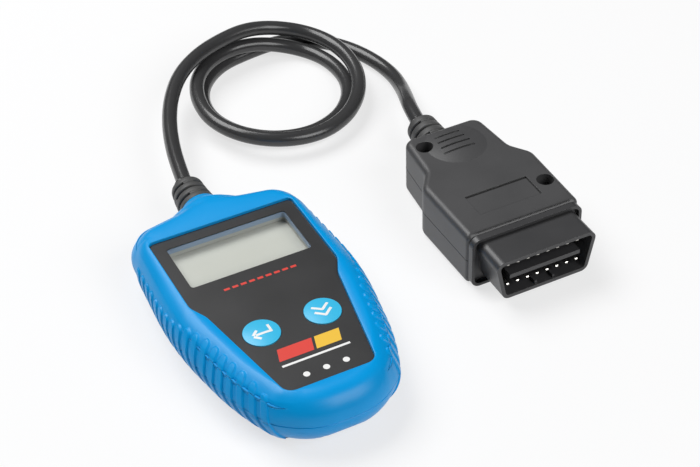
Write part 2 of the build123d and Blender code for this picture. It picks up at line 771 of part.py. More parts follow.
def pad_grooves():
    """Short bars cut across the thumb pad."""
    cutters = []
    low = plug_height + thumb_pad_rise - pad_groove_depth
    for i in range(pad_groove_count):
        share = i / (pad_groove_count - 1)
        y = pad_groove_y + (i - (pad_groove_count - 1) / 2) * pad_groove_pitch
        length = pad_groove_front_length + share * (pad_groove_back_length - pad_groove_front_length)
        bar = SlotOverall(length, pad_groove_width)
        cutters.append(Pos(pad_groove_x, y, low) * extrude(bar, amount=plug_height))
    return cutters


def plug_upper_shell():
    """Top half of the plug, with its thumb pad, shallow recess and deep screw holes."""
    shell = rising(shell_outline, plug_parting, plug_height)
    shell = fillet(edges_at(shell, plug_height), plug_round)
    shell = shell + thumb_pad()
    cavity = rising(shell_inside, plug_parting, plug_height - plug_wall)
    bosses = [rod(x, y, plug_parting, plug_height - plug_wall, plug_boss_radius)
              for x, y in plug_screw_places]
    shell = shell - (cavity - bosses)
    for x, y in plug_screw_places:
        shell -= rod(x, y, plug_counterbore_floor, plug_height + 2 * thumb_pad_rise,
                     plug_counterbore_radius)
        shell -= rod(x, y, plug_parting - past, plug_height, plug_screw_radius + hole_clearance)
    shell -= Pos(recess_x, recess_y, plug_height - recess_depth) * extrude(
        Rectangle(recess_width, recess_length), amount=recess_depth + past)
    shell -= pad_grooves()
    return shell - carrier_opening() - plug_neck_bore()


def plug_lower_shell():
    """Bottom half of the plug, with the bosses that the screws bite into."""
    shell = rising(shell_outline, 0, plug_parting)
    shell = fillet(edges_at(shell, 0), plug_round)
    cavity = rising(shell_inside, plug_wall, plug_parting)
    bosses = [rod(x, y, plug_wall, plug_parting, plug_boss_radius) for x, y in plug_screw_places]
    shell = shell - (cavity - bosses)
    for x, y in plug_screw_places:
        shell -= rod(x, y, plug_parting - plug_screw_bite - plug_screw_end_gap, plug_parting + past,
                     plug_screw_radius + thread_clearance)
    return shell - carrier_opening() - plug_neck_bore()


def plug_screws():
    """Two screws sunk deep in the plug's top."""
    return Compound(children=[
        screw(x, y, plug_counterbore_floor, plug_counterbore_floor + plug_screw_head_height,
              plug_parting - plug_screw_bite, plug_screw_radius, plug_screw_head_radius, False)
        for x, y in plug_screw_places
    ])


def shroud_section(inset):
    """The plug's D-shaped mouth, seen from the front; inset makes it smaller all round."""
    corners = [
        (-shroud_bottom_half, shroud_bottom), (shroud_bottom_half, shroud_bottom),
        (shroud_top_half, shroud_top), (-shroud_top_half, shroud_top),
    ]
    outline = FilletPolyline(*corners, radius=shroud_radius, close=True)
    face = make_face(outline.edges())
    return offset(face, amount=-inset) if inset else face


def facing_front(face, front, back):
    """A prism, from front to back along +Y, of a face drawn in X and Z."""
    upright = Plane(origin=(0, back, 0), x_dir=(1, 0, 0), z_dir=(0, -1, 0))
    return upright * extrude(face, amount=back - front, dir=(0, 0, 1))


def mouth_flange():
    """Rounded plate behind the mouth, with a raised rim."""
    middle = (flange_low + flange_high) / 2
    width, tall = 2 * flange_half, flange_high - flange_low
    plate = facing_front(Pos(0, middle) * RectangleRounded(width, tall, flange_radius),
                         flange_front_y, flange_back_y)
    sunk = Pos(0, middle) * RectangleRounded(width - 2 * flange_rim, tall - 2 * flange_rim,
                                             flange_radius - flange_rim)
    return plate - facing_front(sunk, flange_front_y - past, flange_front_y + flange_sunk)


def connector_shroud():
    """Mouth, flange, pin carrier, tongue and key ribs, moulded in one piece."""
    shroud = mouth_flange() + facing_front(shroud_section(0), shroud_front_y, flange_back_y)
    mouth_end = flange_back_y - mouth_floor
    shroud -= facing_front(shroud_section(shroud_wall), shroud_front_y - past, mouth_end)
    shroud += block(-carrier_half, carrier_half, flange_back_y - sink, carrier_back_y,
                    carrier_low, carrier_high)
    lock_half = shell_front_half - plug_wall - lock_clearance
    lock_start = shell_front_y + plug_wall + lock_face_gap
    shroud += block(-lock_half, lock_half, lock_start, lock_start + lock_thickness,
                    plug_wall + lock_clearance, plug_height - plug_wall - lock_clearance)
    shroud += block(-tongue_half, tongue_half, tongue_front_y, flange_back_y, tongue_low, tongue_high)
    floor = shroud_bottom + shroud_wall
    for side in (1, -1):
        x = side * key_rib_x
        shroud += block(x - key_rib_width / 2, x + key_rib_width / 2, key_rib_front_y, flange_back_y,
                        floor - sink, floor + key_rib_height)
    for x, z in pin_places():
        shroud -= block(x - pin_width / 2, x + pin_width / 2, mouth_end - past, carrier_back_y + past,
                        z - pin_height / 2, z + pin_height / 2)
    return shroud


def pin_places():
    """The pins' places across the mouth, both rows."""
    middle = (pins_in_row - 1) / 2
    return [((i - middle) * pin_pitch, z) for z in pin_rows for i in range(pins_in_row)]


def contact_pins():
    """Flat contact blades with bevelled tips."""
    pins = []
    for x, z in pin_places():
        pin = block(x - pin_width / 2, x + pin_width / 2, pin_tip_y, pin_tail_y,
                    z - pin_height / 2, z + pin_height / 2)
        tip = pin.faces().sort_by(Axis.Y)[0]
        pins.append(chamfer(tip.edges(), pin_tip_chamfer))
    return Compound(children=pins)


def plug_wires():
    """Cores from the used pins back to the cable's end."""
    end_y = plug_flange_y - boot_flange_thickness - cable_tail
    span = end_y - pin_tail_y
    wires = []
    for i, (x, z) in enumerate(plug_wire_pins):
        angle = 2 * math.pi * i / len(plug_wire_pins)
        end_x = plug_wire_spread * math.cos(angle)
        end_z = plug_cable_height + plug_wire_spread * math.sin(angle)
        wires.append(tube([(x, pin_tail_y, z), (x, pin_tail_y + span / 4, z),
                           (end_x, end_y - span / 4, end_z), (end_x, end_y, end_z)], wire_radius))
    return Compound(children=wires)


# ================================================================ free cable
def cable_stretch(points, name):
    """A plain tube along one uncoiled stretch; prints its bends and checks its volume."""
    radii = bend_radii(points)
    path = FilletPolyline(*points, radius=radii)
    section = Plane(origin=path @ 0, z_dir=path % 0) * Circle(cable_radius)
    solid = sweep(section, path=path)
    expected = math.pi * cable_radius ** 2 * path.length
    smallest = min(radii) / (2 * cable_radius)
    print(f"{name}: length {path.length:.1f}, radii {[round(r, 1) for r in radii]},",
          f"smallest {smallest:.1f} diameters, volume {solid.volume:.0f} of {expected:.0f}")
    if smallest < smallest_bend_diameters:
        print(f"{name}: a bend is tighter than {smallest_bend_diameters} diameters")
    return solid


def cable_coil():
    """The two loose turns as one closed ring."""
    hole = Pos(0, coil_hole_shift) * Ellipse(coil_hole_x, coil_hole_y)
    ring = extrude(Ellipse(coil_outer_x, coil_outer_y) - hole, amount=coil_height)
    return Pos(coil_x, coil_y, 0) * fillet(ring.edges(), coil_edge_round)


# ================================================================ build
write(front_cover(), "front_cover")
write(rear_cover(), "rear_cover")
write(rear_label(), "rear_label")
write(faceplate(), "faceplate_overlay")
write(screen_window(), "screen_window")
write(lcd_bezel(), "lcd_bezel")
write(lcd_glass(), "lcd_glass")
write(lcd_backlight(), "lcd_backlight")
write(lcd_contact_strips(), "lcd_contact_strips")
write(main_board(), "main_board")
write(controller_chip(), "controller_chip")
write(transceiver_chips(), "transceiver_chips")
write(voltage_regulator(), "voltage_regulator")
write(crystal(), "clock_crystal")
write(capacitors(), "capacitors")
write(cable_header(), "cable_header")
write(cable_header_plug(), "cable_header_plug")
write(cable_wires(), "cable_wires")
write(case_screws(), "case_screws")
write(board_screws(), "board_screws")
for side, name in ((-1, "enter"), (1, "scroll")):
    write(key(side), f"{name}_key")
    write(switch_base(side), f"{name}_switch_base")
    write(switch_plunger(side), f"{name}_switch_plunger")

reader_flange = reader_flange_y - reader_root_y
reader_tail = reader_cable_tail_y() - reader_root_y
write(reader_root * boot(reader_boot_length, reader_boot_rings, reader_flange), "reader_boot")
write(reader_root * held_cable(reader_boot_length, reader_tail), "reader_cable_end")

plug_flange = plug_flange_y - plug_root_y
plug_tail = plug_flange - boot_flange_thickness - cable_tail
write(plug_root * boot(plug_boot_length, plug_boot_rings, plug_flange), "plug_boot")
write(plug_root * held_cable(plug_boot_length, plug_tail), "plug_cable_end")

write(plug_place * plug_upper_shell(), "plug_upper_shell")
write(plug_place * plug_lower_shell(), "plug_lower_shell")
write(plug_place * plug_screws(), "plug_screws")
write(plug_place * connector_shroud(), "connector_shroud")
write(plug_place * contact_pins(), "contact_pins")
write(plug_place * plug_wires(), "plug_wires")

print("the cable leaves its boots at", reader_tip, plug_tip)
write(cable_stretch([reader_tip] + lead_in_points, "cable_lead_in"), "cable_lead_in")
write(cable_stretch(lead_out_points + [plug_tip], "cable_lead_out"), "cable_lead_out")
write(cable_coil(), "cable_coil")
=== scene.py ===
# %% [markdown]
# A handheld code reader for cars, with its cable and its plug. The hard parts come in as a packed
# CAD frame, already in metres and in their places; this lesson lays the cable, gives each surface
# its finish, and makes by hand the soft and detailed shapes that the solids leave plain.

# %% Load the frame
import math

import bmesh
import bpy
from mathutils import Matrix, Vector


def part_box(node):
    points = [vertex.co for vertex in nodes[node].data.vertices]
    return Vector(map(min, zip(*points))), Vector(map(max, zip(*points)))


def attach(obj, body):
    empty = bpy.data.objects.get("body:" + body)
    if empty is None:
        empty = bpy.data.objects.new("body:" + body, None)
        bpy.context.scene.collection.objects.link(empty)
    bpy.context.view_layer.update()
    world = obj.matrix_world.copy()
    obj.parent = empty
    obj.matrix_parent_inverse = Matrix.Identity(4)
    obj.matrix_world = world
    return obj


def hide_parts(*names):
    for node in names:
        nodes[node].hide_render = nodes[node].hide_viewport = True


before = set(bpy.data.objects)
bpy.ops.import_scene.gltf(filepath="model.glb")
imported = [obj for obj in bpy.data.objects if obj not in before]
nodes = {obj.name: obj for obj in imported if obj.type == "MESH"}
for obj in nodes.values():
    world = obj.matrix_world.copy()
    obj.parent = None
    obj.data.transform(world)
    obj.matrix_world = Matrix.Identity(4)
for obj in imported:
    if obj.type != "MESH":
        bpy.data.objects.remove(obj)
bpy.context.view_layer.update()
scene = bpy.context.scene
MM = 0.001

# %% [markdown]
# The camera looks down on the bench from the front and a little to the left, with a long lens,
# so that the case shows its front and its left side. A camera can be aimed with a constraint,
# but its matrix written from an azimuth, an elevation and a small roll is exact and repeatable.

# %% Camera
aim = Vector((48.18, 34.01, 0)) * MM
azimuth, elevation, roll = math.radians(-25.72), math.radians(39.85), math.radians(-1.94)
distance, lens, sensor_width = 665.85 * MM, 93.49, 36
away = Vector((math.sin(azimuth) * math.cos(elevation), -math.cos(azimuth) * math.cos(elevation),
               math.sin(elevation)))
level = Vector((math.cos(azimuth), math.sin(azimuth), 0))
rise = away.cross(level)
right = level * math.cos(roll) + rise * math.sin(roll)
up = rise * math.cos(roll) - level * math.sin(roll)
camera_data = bpy.data.cameras.new("bench_camera")
camera_data.sensor_width, camera_data.lens = sensor_width, lens
camera_data.clip_start, camera_data.clip_end = 0.01, 50
camera = bpy.data.objects.new("bench_camera", camera_data)
scene.collection.objects.link(camera)
turn = Matrix((right, up, away)).transposed().to_4x4()
camera.matrix_world = Matrix.Translation(aim + away * distance) @ turn
scene.camera = camera
print("camera at", [round(c, 3) for c in camera.location])

# %% [markdown]
# The cable leaves the reader, makes a little over two loose turns and runs on to the plug. A
# curve with a round bevel is the natural tool: its control points are the cable's route, and a
# quadratic NURBS spline follows them in smooth bends, as a springy jacket does. The turns differ
# in size and lie on one another, so each eighth of a turn has its own radius and height, and a
# loop places the points between them.

# %% Cable route
cable_radius = 2.95 * MM
coil_middle = (61.5, 126.0)
lying = 3.0
eighths = 8
eighth_radii = [28.8, 33.4, 32.8, 35.2, 40.3, 40.2, 33.6, 30.1,
                26.7, 29.3, 28.5, 30.6, 33.8, 32.6, 30.8, 29.3, 29.2]
eighth_heights = [14.9, 9.7, 8.5, 7.0, 6.6, 8.8, 8.9, 9.0, 8.8, 3.5] + 7 * [lying]
points_per_turn, turns = 16, 2
reader_boot_tip = (1.26, 75.58, 12.5)
plug_boot_tip = (95.39, 67.69, 11.5)
lead_in = [reader_boot_tip, (3.5, 88.4, 12.5), (6.8, 101.5, 12.5), (11.0, 114.0, 12.6),
           (17.0, 126.8, 13.1), (26.0, 139.3, 14.0), (37.2, 147.3, 14.9), (49.3, 152.2, 15.0)]
lead_out = [(74.0, 156.6, 3.0), (84.6, 153.8, 3.0), (94.6, 146.2, 3.0), (101.6, 135.8, 3.0),
            (106.0, 123.5, 3.0), (107.3, 111.0, 3.3), (104.7, 98.6, 5.2), (100.6, 87.4, 9.0),
            (97.1, 77.6, 11.4), plug_boot_tip]


def between(values, place):
    """The value at a place in a list, on a smooth curve through the entries (Catmull-Rom)."""
    first = min(int(place), len(values) - 2)
    share = place - first
    before, a, b = values[max(first - 1, 0)], values[first], values[first + 1]
    after = values[min(first + 2, len(values) - 1)]
    return a + share * (b - before + share * (2 * before - 5 * a + 4 * b - after
                                              + share * (3 * (a - b) + after - before))) / 2


def coil_point(turn):
    """A point of the coil; it runs clockwise from the far side, seen from above."""
    angle = math.pi / 2 - 2 * math.pi * turn
    radius = between(eighth_radii, eighths * turn)
    height = max(lying, between(eighth_heights, eighths * turn))
    return (coil_middle[0] + radius * math.cos(angle), coil_middle[1] + radius * math.sin(angle), height)


coil = [coil_point(i / points_per_turn) for i in range(turns * points_per_turn + 1)]
route = lead_in + coil + lead_out
print("route:", len(lead_in), "points in,", len(coil), "in the coil,", len(lead_out), "out")

# %% [markdown]
# The jacket is one round tube from boot to boot. A mesh could be swept along the route, but a
# curve object keeps the cable a cable: its bevel is the jacket, and its route can be changed
# later. A copy without the bevel is turned into a plain line, as a mesh.

# %% Cable
cable_data = bpy.data.curves.new("cable", "CURVE")
cable_data.dimensions = "3D"
spline = cable_data.splines.new("NURBS")
spline.points.add(len(route) - 1)
for point, place in zip(spline.points, route):
    point.co = (place[0] * MM, place[1] * MM, place[2] * MM, 1)
spline.order_u = 3
spline.use_endpoint_u = True
cable_data.resolution_u = 8
cable_data.bevel_depth, cable_data.bevel_resolution = cable_radius, 5
cable = bpy.data.objects.new("cable", cable_data)
scene.collection.objects.link(cable)
bpy.context.view_layer.update()
line = cable_data.copy()
line.bevel_depth = 0
line_object = bpy.data.objects.new("line", line)
run = bpy.data.meshes.new_from_object(line_object)
bpy.data.objects.remove(line_object)

# %% [markdown]
# Most surfaces here are moulded plastic, and real mouldings are never one flat colour: the mould
# leaves a fine grain, the gloss wanders a little, and edges are softly rounded. One helper builds
# that recipe from noise, a bump and a bevel that rounds the shading at edges; each finish then
# only chooses its own numbers. Image textures could do it too, but noise has no seams or limits.

# %% Finish helper
finishes = {}
cloud_scale, gloss_spread = 60, 0.15


def new_finish(name):
    """A new material with nodes, kept under its name, and its node tree."""
    finish = bpy.data.materials.new(name)
    finish.use_nodes = True
    finishes[name] = finish
    return finish.node_tree


def add_node(tree, kind, values=None, **settings):
    """A new shader node with its settings and the values of its inputs."""
    node = tree.nodes.new(kind)
    for name, value in settings.items():
        setattr(node, name, value)
    for socket, value in (values or {}).items():
        node.inputs[socket].default_value = value
    return node


def moulded(name, colour, roughness, grain=0.4, depth=0.02, shade=0.12, edge=0.25, metallic=0.0,
            specular=0.5):
    """A finish: grain, its depth and the soft edge in millimetres; shade is how far colour wanders."""
    tree = new_finish(name)
    link = tree.links.new
    shader = tree.nodes["Principled BSDF"]
    shader.inputs["Metallic"].default_value = metallic
    shader.inputs["Specular IOR Level"].default_value = specular
    place = add_node(tree, "ShaderNodeTexCoord").outputs["Object"]
    fine = add_node(tree, "ShaderNodeTexNoise", {"Scale": 1 / (grain * MM), "Detail": 3})
    wide = add_node(tree, "ShaderNodeTexNoise", {"Scale": cloud_scale, "Detail": 4})
    link(place, fine.inputs["Vector"])
    link(place, wide.inputs["Vector"])
    darker = (*[c * (1 - shade) for c in colour], 1)
    lighter = (*[min(1, c * (1 + shade)) for c in colour], 1)
    tone = add_node(tree, "ShaderNodeMix", {6: darker, 7: lighter}, data_type="RGBA")
    link(wide.outputs["Fac"], tone.inputs[0])
    link(tone.outputs[2], shader.inputs["Base Color"])
    gloss = add_node(tree, "ShaderNodeMapRange", {"To Min": roughness * (1 - gloss_spread),
                                                  "To Max": min(1, roughness * (1 + gloss_spread))})
    link(wide.outputs["Fac"], gloss.inputs["Value"])
    link(gloss.outputs["Result"], shader.inputs["Roughness"])
    bump = add_node(tree, "ShaderNodeBump", {"Strength": 1, "Distance": depth * MM})
    link(fine.outputs["Fac"], bump.inputs["Height"])
    if edge:
        soft = add_node(tree, "ShaderNodeBevel", {"Radius": edge * MM}, samples=4)
        link(soft.outputs["Normal"], bump.inputs["Normal"])
    link(bump.outputs["Normal"], shader.inputs["Normal"])


# %% [markdown]
# The window over the display is a thin clear pane. It could refract, but a flat pane hardly bends
# light and a refracting one starves the display below of light, so it is a see-through shader
# with a Fresnel reflection. The pane's inner side doesn't mirror, or it would shine twice.

# %% Clear finish
def clear(name, tint, polish=0.06, index=1.4):
    """A thin clear pane: see-through with a mirror-like reflection that grows at grazing angles."""
    tree = new_finish(name)
    link = tree.links.new
    tree.nodes.remove(tree.nodes["Principled BSDF"])
    through = add_node(tree, "ShaderNodeBsdfTransparent", {"Color": (*tint, 1)})
    mirror = add_node(tree, "ShaderNodeBsdfGlossy", {"Roughness": polish})
    fresnel = add_node(tree, "ShaderNodeFresnel", {"IOR": index})
    facing = add_node(tree, "ShaderNodeNewGeometry")
    share = add_node(tree, "ShaderNodeMix", {3: 0})
    link(facing.outputs["Backfacing"], share.inputs[0])
    link(fresnel.outputs["Fac"], share.inputs[2])
    mixed = add_node(tree, "ShaderNodeMixShader")
    link(share.outputs[0], mixed.inputs["Fac"])
    link(through.outputs["BSDF"], mixed.inputs[1])
    link(mirror.outputs["BSDF"], mixed.inputs[2])
    link(mixed.outputs["Shader"], tree.nodes["Material Output"].inputs["Surface"])


# %% [markdown]
# Now each finish of the object by its own name. The case is a satin blue, the plug and the cable
# are near black with different gloss, and the inner parts are plainer, since little of them shows.
# Colours are linear, so they look darker as numbers than on screen.

# %% Finishes
moulded("blue_plastic", (0.0, 0.315, 0.735), 0.34, grain=0.35, depth=0.014, shade=0.04, specular=0.28)
moulded("label_foil", (0.62, 0.63, 0.64), 0.4, grain=1.2, depth=0.004, edge=0.05)
moulded("dark_faceplate", (0.032, 0.032, 0.033), 0.34, grain=0.25, depth=0.006, edge=0.08)
clear("clear_window", (0.97, 0.98, 0.97))
moulded("bezel_plastic", (0.5, 0.5, 0.48), 0.45)
moulded("display_glass", (0.66, 0.65, 0.615), 0.3, grain=0.5, depth=0.001, shade=0.02)
moulded("white_plastic", (0.8, 0.8, 0.76), 0.5, shade=0.03)
moulded("strip_rubber", (0.25, 0.12, 0.12), 0.7)
moulded("board_laminate", (0.02, 0.16, 0.05), 0.4, grain=0.8, depth=0.01)
moulded("chip_plastic", (0.02, 0.02, 0.022), 0.55, grain=0.2)
moulded("tinned_metal", (0.75, 0.73, 0.68), 0.3, metallic=1.0, edge=0.05)
moulded("capacitor_can", (0.7, 0.7, 0.72), 0.25, metallic=1.0)
moulded("wire_jacket", (0.3, 0.03, 0.02), 0.5)
moulded("screw_steel", (0.10, 0.10, 0.11), 0.35, metallic=1.0, edge=0.08)
moulded("key_plastic", (0.045, 0.5, 0.8), 0.33, grain=0.3, depth=0.006, shade=0.04, edge=0.1)
moulded("switch_body", (0.06, 0.06, 0.065), 0.5)
moulded("plunger_plastic", (0.05, 0.05, 0.05), 0.45)
moulded("boot_rubber", (0.07, 0.07, 0.07), 0.5, grain=0.5, depth=0.012)
moulded("cable_jacket", (0.045, 0.045, 0.046), 0.23, grain=0.9, depth=0.003, edge=0)
moulded("plug_plastic", (0.062, 0.062, 0.064), 0.42, grain=0.3, depth=0.02, edge=0.3)
# Painted reflection: this pale grey-blue is the cover's blue wall paled by the window pane's edge reflecting
# the light.
moulded("edge_painted_reflection", (0.28, 0.37, 0.52), 0.4, edge=0)
# Painted shade: near black, for the shadow in the plug's seam and along two edges of its recess; the ticks
# on the plug's front edge use it too.
moulded("seam_shadow", (0.006, 0.006, 0.006), 0.6, edge=0)
moulded("shroud_plastic", (0.045, 0.045, 0.047), 0.36, grain=0.3, depth=0.014, edge=0.2)
print("finishes:", ", ".join(finishes))

# %% [markdown]
# The parts of the frame arrive with material slots that already have the right names. They could
# be dressed one by one, but a loop that swaps each name for the finish of that name misses none.

# %% Finish the parts of the frame
for name, part in nodes.items():
    for holder in part.material_slots:
        key = holder.material.name.split(".")[0] if holder.material else ""
        if key in finishes:
            holder.material = finishes[key]
        else:
            print("no finish for", name, key)
print("dressed:", len(nodes), "parts")

# %% [markdown]
# The cable takes the glossy jacket, rides with the reader and stands for the plain solids.

# %% Dress the cable
cable_data.materials.append(finishes["cable_jacket"])
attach(cable, "reader")
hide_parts("cable_lead_in", "cable_coil", "cable_lead_out")

# %% [markdown]
# The case is two moulded covers that meet at a seam. A box with bevels can't give its shape: the
# outline is a shield with soft corners, the sides lean in to a crease, and from there a shoulder
# rises to the rim. So each cover is a skin, made column by column round one outline, with the
# same profile from the seam to the rim in every column. First comes the outline itself.

# %% Outline of the case
case_corners = [(0, 57.43), (32.13, 50.92), (36.12, -0.62), (29.77, -36.98), (23.11, -51.55),
                (11.68, -61.05), (0, -61.05)]
case_radii = [12.5, 130.0, 100.0, 12.0, 25.8]


def rounded(corners, radii, arc_steps=24):
    """The points of a line of straight runs with rounded corners."""
    places = [Vector(c) for c in corners]
    points = [places[0]]
    for before, corner, after, radius in zip(places, places[1:], places[2:], radii):
        back, on = (before - corner).normalized(), (after - corner).normalized()
        half_turn = back.angle(on) / 2
        middle = corner + (back + on).normalized() * radius / math.sin(half_turn)
        reach = radius / math.tan(half_turn)
        start, end = corner + back * reach - middle, corner + on * reach - middle
        swing = start.angle_signed(end)
        points += [middle + Matrix.Rotation(-swing * i / arc_steps, 2) @ start for i in range(arc_steps + 1)]
    return points + [places[-1]]


class Outline:
    """A line that gives its point at any distance along it."""

    half_run, square_reach = 0.5, 5

    def __init__(self, points):
        self.points = points
        self.marks = [0.0]
        for a, b in zip(points, points[1:]):
            self.marks.append(self.marks[-1] + (b - a).length)
        self.length = self.marks[-1]

    def at(self, distance):
        """The point so far along the line."""
        distance = min(max(distance, 0.0), self.length)
        low, high = 0, len(self.marks) - 1
        while high - low > 1:
            middle = (low + high) // 2
            low, high = (middle, high) if self.marks[middle] <= distance else (low, middle)
        run = self.marks[high] - self.marks[low]
        share = (distance - self.marks[low]) / run if run else 0
        return self.points[low].lerp(self.points[high], share)

    def inward(self, distance):
        """The direction into the case, square to the middle line near the two ends."""
        run = self.at(distance + self.half_run) - self.at(distance - self.half_run)
        across = Vector((run.y, -run.x)).normalized()
        to_end = min(distance, self.length - distance)
        if to_end < self.square_reach:
            square = Vector((0, -1 if distance < self.length / 2 else 1))
            across = across.lerp(square, 1 - to_end / self.square_reach).normalized()
        return across


case_line = Outline(rounded(case_corners, case_radii))
print("half outline", round(case_line.length, 1), "mm")

# %% [markdown]
# The grip ribs are part of the skin. Each is a low flat bar with a round top end and a short slope
# all round. The bars lean towards the cable as they rise, and in the lower half of the case they
# reach higher. They could be separate bars or a bump in the material, but only real relief catches
# light on its edges, so every point of the skin asks this function how far it stands out.

# %% Grip ribs
rib_places = [47.6, 52.4, 57.2, 62.0, 66.8, 71.6, 76.4, 81.2, 86.0, 90.9, 95.8, 101.1, 106.1, 111.0,
              116.0, 121.3, 127.1, 132.4]
rib_tips = [3.6, 3.8, 4.0, 4.2, 4.5, 4.8, 5.3, 6.0, 7.1, 8.6, 9.6, 10.7, 10.9, 10.9, 10.9, 10.7,
            10.1, 8.4]
rib_half_width, rib_slope, rib_height = 1.5, 0.22, 0.58
rib_lean, full_lean, last_lean, upright = 0.48, 40.0, 140.0, 170.0


def smooth_step(low, high, value):
    """0 below low, 1 above high, and an S-shaped rise between them."""
    share = min(max((value - low) / (high - low), 0.0), 1.0)
    return share * share * (3 - 2 * share)


def lean(place):
    """How far a column moves along the outline for each millimetre that it rises."""
    return rib_lean * smooth_step(0, full_lean, place) * (1 - smooth_step(last_lean, upright, place))


def relief(place, along):
    """How far the skin stands out at a place on the outline, along millimetres above the seam."""
    bar = 0.0
    for centre, tip in zip(rib_places, rib_tips):
        aside = abs(place - centre)
        if aside < 2 * rib_half_width:
            past_tip = max(0.0, along - (tip - rib_half_width))
            reach = math.hypot(aside, past_tip)
            bar = max(bar, 1 - smooth_step(rib_half_width - rib_slope, rib_half_width + rib_slope, reach))
    return rib_height * bar


print("ribs on each side:", len(rib_places))

# %% [markdown]
# One profile runs from the seam up to the rim. It is two curves that meet at the crease: near
# the display both are round and the crease is faint, and towards the foot the wall is straighter
# and the crease crisp. Bezier curves with one handle each are enough, and easy to blend from one
# stretch of the case to the next: its side, the side's lower half, the toe, the roof and the neck.

# %% Profile of the front cover
seam_level, rim_level = 12.4, 21.9
seam_chamfer, lip_width = 0.22, 0.35
wall_steps, shoulder_steps = 21, 16
low_side_span, toe_span, roof_span, neck_span = (84, 108), (128, 150), (30, 46), (5, 16)
widest_shoulder, full_shoulder = 8.0, 7.4


def mix(a, b, share):
    """A point on the line from a to b."""
    return tuple(x + (y - x) * share for x, y in zip(a, b))


def bend(start, handle, end, share):
    """A point on a Bezier curve with one handle."""
    return mix(mix(start, handle, share), mix(handle, end, share), share)


def blend_stretches(place, side, low_side, toe, neck, roof=None):
    """The value of a place on the outline, from the values of the stretches of the case."""
    value = mix(side, low_side, smooth_step(*low_side_span, place))
    value = mix(value, toe, smooth_step(*toe_span, place))
    if roof:
        value = mix(value, roof, 1 - smooth_step(*roof_span, place))
    return mix(value, neck, 1 - smooth_step(*neck_span, place))


def upper_profile(place, room):
    """(inset, level) from the seam to the rim; room is the distance from outline to faceplate."""
    rim = min(widest_shoulder, room - lip_width)
    narrow = min(1.0, rim / full_shoulder)
    crease = blend_stretches(place, side=(2.9, 19.4), low_side=(3.3, 19.0), toe=(3.5, 20.1),
                             roof=(3.6, 19.2), neck=(2.6, 20.0))
    crease = (crease[0] * narrow, crease[1])
    wall_handle = blend_stretches(place, side=(0.0, 15.9), low_side=(0.22, 13.7), toe=(0.1, 17.0),
                                  roof=(0.0, 15.6), neck=(0.0, 16.6))
    shoulder_handle = blend_stretches(place, side=(5.3 * narrow, 21.72), low_side=(6.6 * narrow, 21.7),
                                      toe=(5.2, 21.65), neck=(4.4, 21.75))
    foot, top = (0, seam_level + seam_chamfer), (rim, rim_level)
    return ([(seam_chamfer, seam_level)]
            + [bend(foot, wall_handle, crease, i / wall_steps) for i in range(wall_steps)]
            + [bend(crease, shoulder_handle, top, i / shoulder_steps) for i in range(shoulder_steps + 1)])


print("profile of the front cover:", len(upper_profile(0, full_shoulder)), "points")

# %% [markdown]
# Below the seam the rear cover turns under in one large round belly, and towards the foot the
# back sweeps up, so that the case sits on the bench like a boat. A quarter of a superellipse
# gives the belly, and a circle the sweep: both are formulas, so no shape has to be drawn.

# %% Profile of the rear cover
belly_reach, belly_steps, belly_power = 12.6, 15, 1.92
keel_place, keel_radius = -42.75, 24.0


def keel_level(y):
    """How high the back has swept up at y."""
    past = max(keel_place - y, 0.0)
    return keel_radius - math.sqrt(keel_radius ** 2 - past ** 2)


def lower_profile():
    """(inset, level) from the seam down to the flat of the back."""
    points = [(seam_chamfer, seam_level)]
    for i in range(belly_steps + 1):
        angle = math.pi / 2 * i / belly_steps
        inset = belly_reach * (1 - math.cos(angle) ** (2 / belly_power))
        points.append((inset, (seam_level - seam_chamfer) * (1 - math.sin(angle) ** (2 / belly_power))))
    return points


belly = lower_profile()
print("profile of the rear cover:", len(belly), "points")

# %% [markdown]
# The skin builder walks the columns, places the profile's points along the inward direction,
# adds the relief, and mirrors the right half to the left. It returns loops of points that are
# bridged into faces. The inside is a plain second skin one wall's thickness in, so that each
# cover is a closed, printable shell.

# %% Skin builder
column_step, wall = 0.3, 2.2
column_count = round(case_line.length / column_step)
columns = [case_line.length * i / column_count for i in range(column_count + 1)]


def leaning(place, level):
    """Where on the outline a column that leans with the ribs is at a level."""
    return place - lean(place) * (level - seam_level)


def inside(place, inset):
    """The point at a place on the outline, moved in by the inset."""
    return case_line.at(place) + case_line.inward(place) * inset


def skin_point(place, profile, along, i):
    """A point of the case's outside, right half: the i-th of the profile, moved out by the relief."""
    inset, level = profile[i]
    before, after = profile[max(i - 1, 0)], profile[min(i + 1, len(profile) - 1)]
    run = Vector((after[0] - before[0], after[1] - before[1])).normalized()
    stand = relief(place, along[i])
    level += run.x * stand * (1 if level > seam_level else -1)
    spot = inside(leaning(place, level), inset - abs(run.y) * stand)
    return Vector((max(spot.x, 0.0), spot.y, level))


def measured(profile):
    """The distance along a profile at each of its points."""
    total = [0.0]
    for a, b in zip(profile, profile[1:]):
        total.append(total[-1] + math.hypot(b[0] - a[0], b[1] - a[1]))
    return total


def ring(half):
    """A full loop: the right half's points, roof to toe, then their mirror images back."""
    half[0].x = half[-1].x = 0.0
    return half + [Vector((-p.x, p.y, p.z)) for p in half[-2:0:-1]]


def inner_loop(inset, level):
    """A loop of the plain inside, which stays a wall's thickness above the back."""
    spots = [inside(place, inset) for place in columns]
    return ring([Vector((max(p.x, 0.0), p.y, max(level, keel_level(p.y) + wall))) for p in spots])


print("columns on each side:", len(columns))

# %% [markdown]
# Nearly all the shapes from here on are built in bmesh, Blender's mesh workshop: rows of points
# become vertices, quads bridge neighbouring rows, and flat faces fill what is left open. The
# modifiers could thicken or bevel simpler shapes, but rows keep every edge where it is wanted.

# %% Mesh helpers
weld_distance = 0.001 * MM


def bridge(bm, low, high, closed=True):
    """Quads between two rows of vertices."""
    for i in range(len(low) if closed else len(low) - 1):
        j = (i + 1) % len(low)
        bm.faces.new((low[i], low[j], high[j], high[i]))


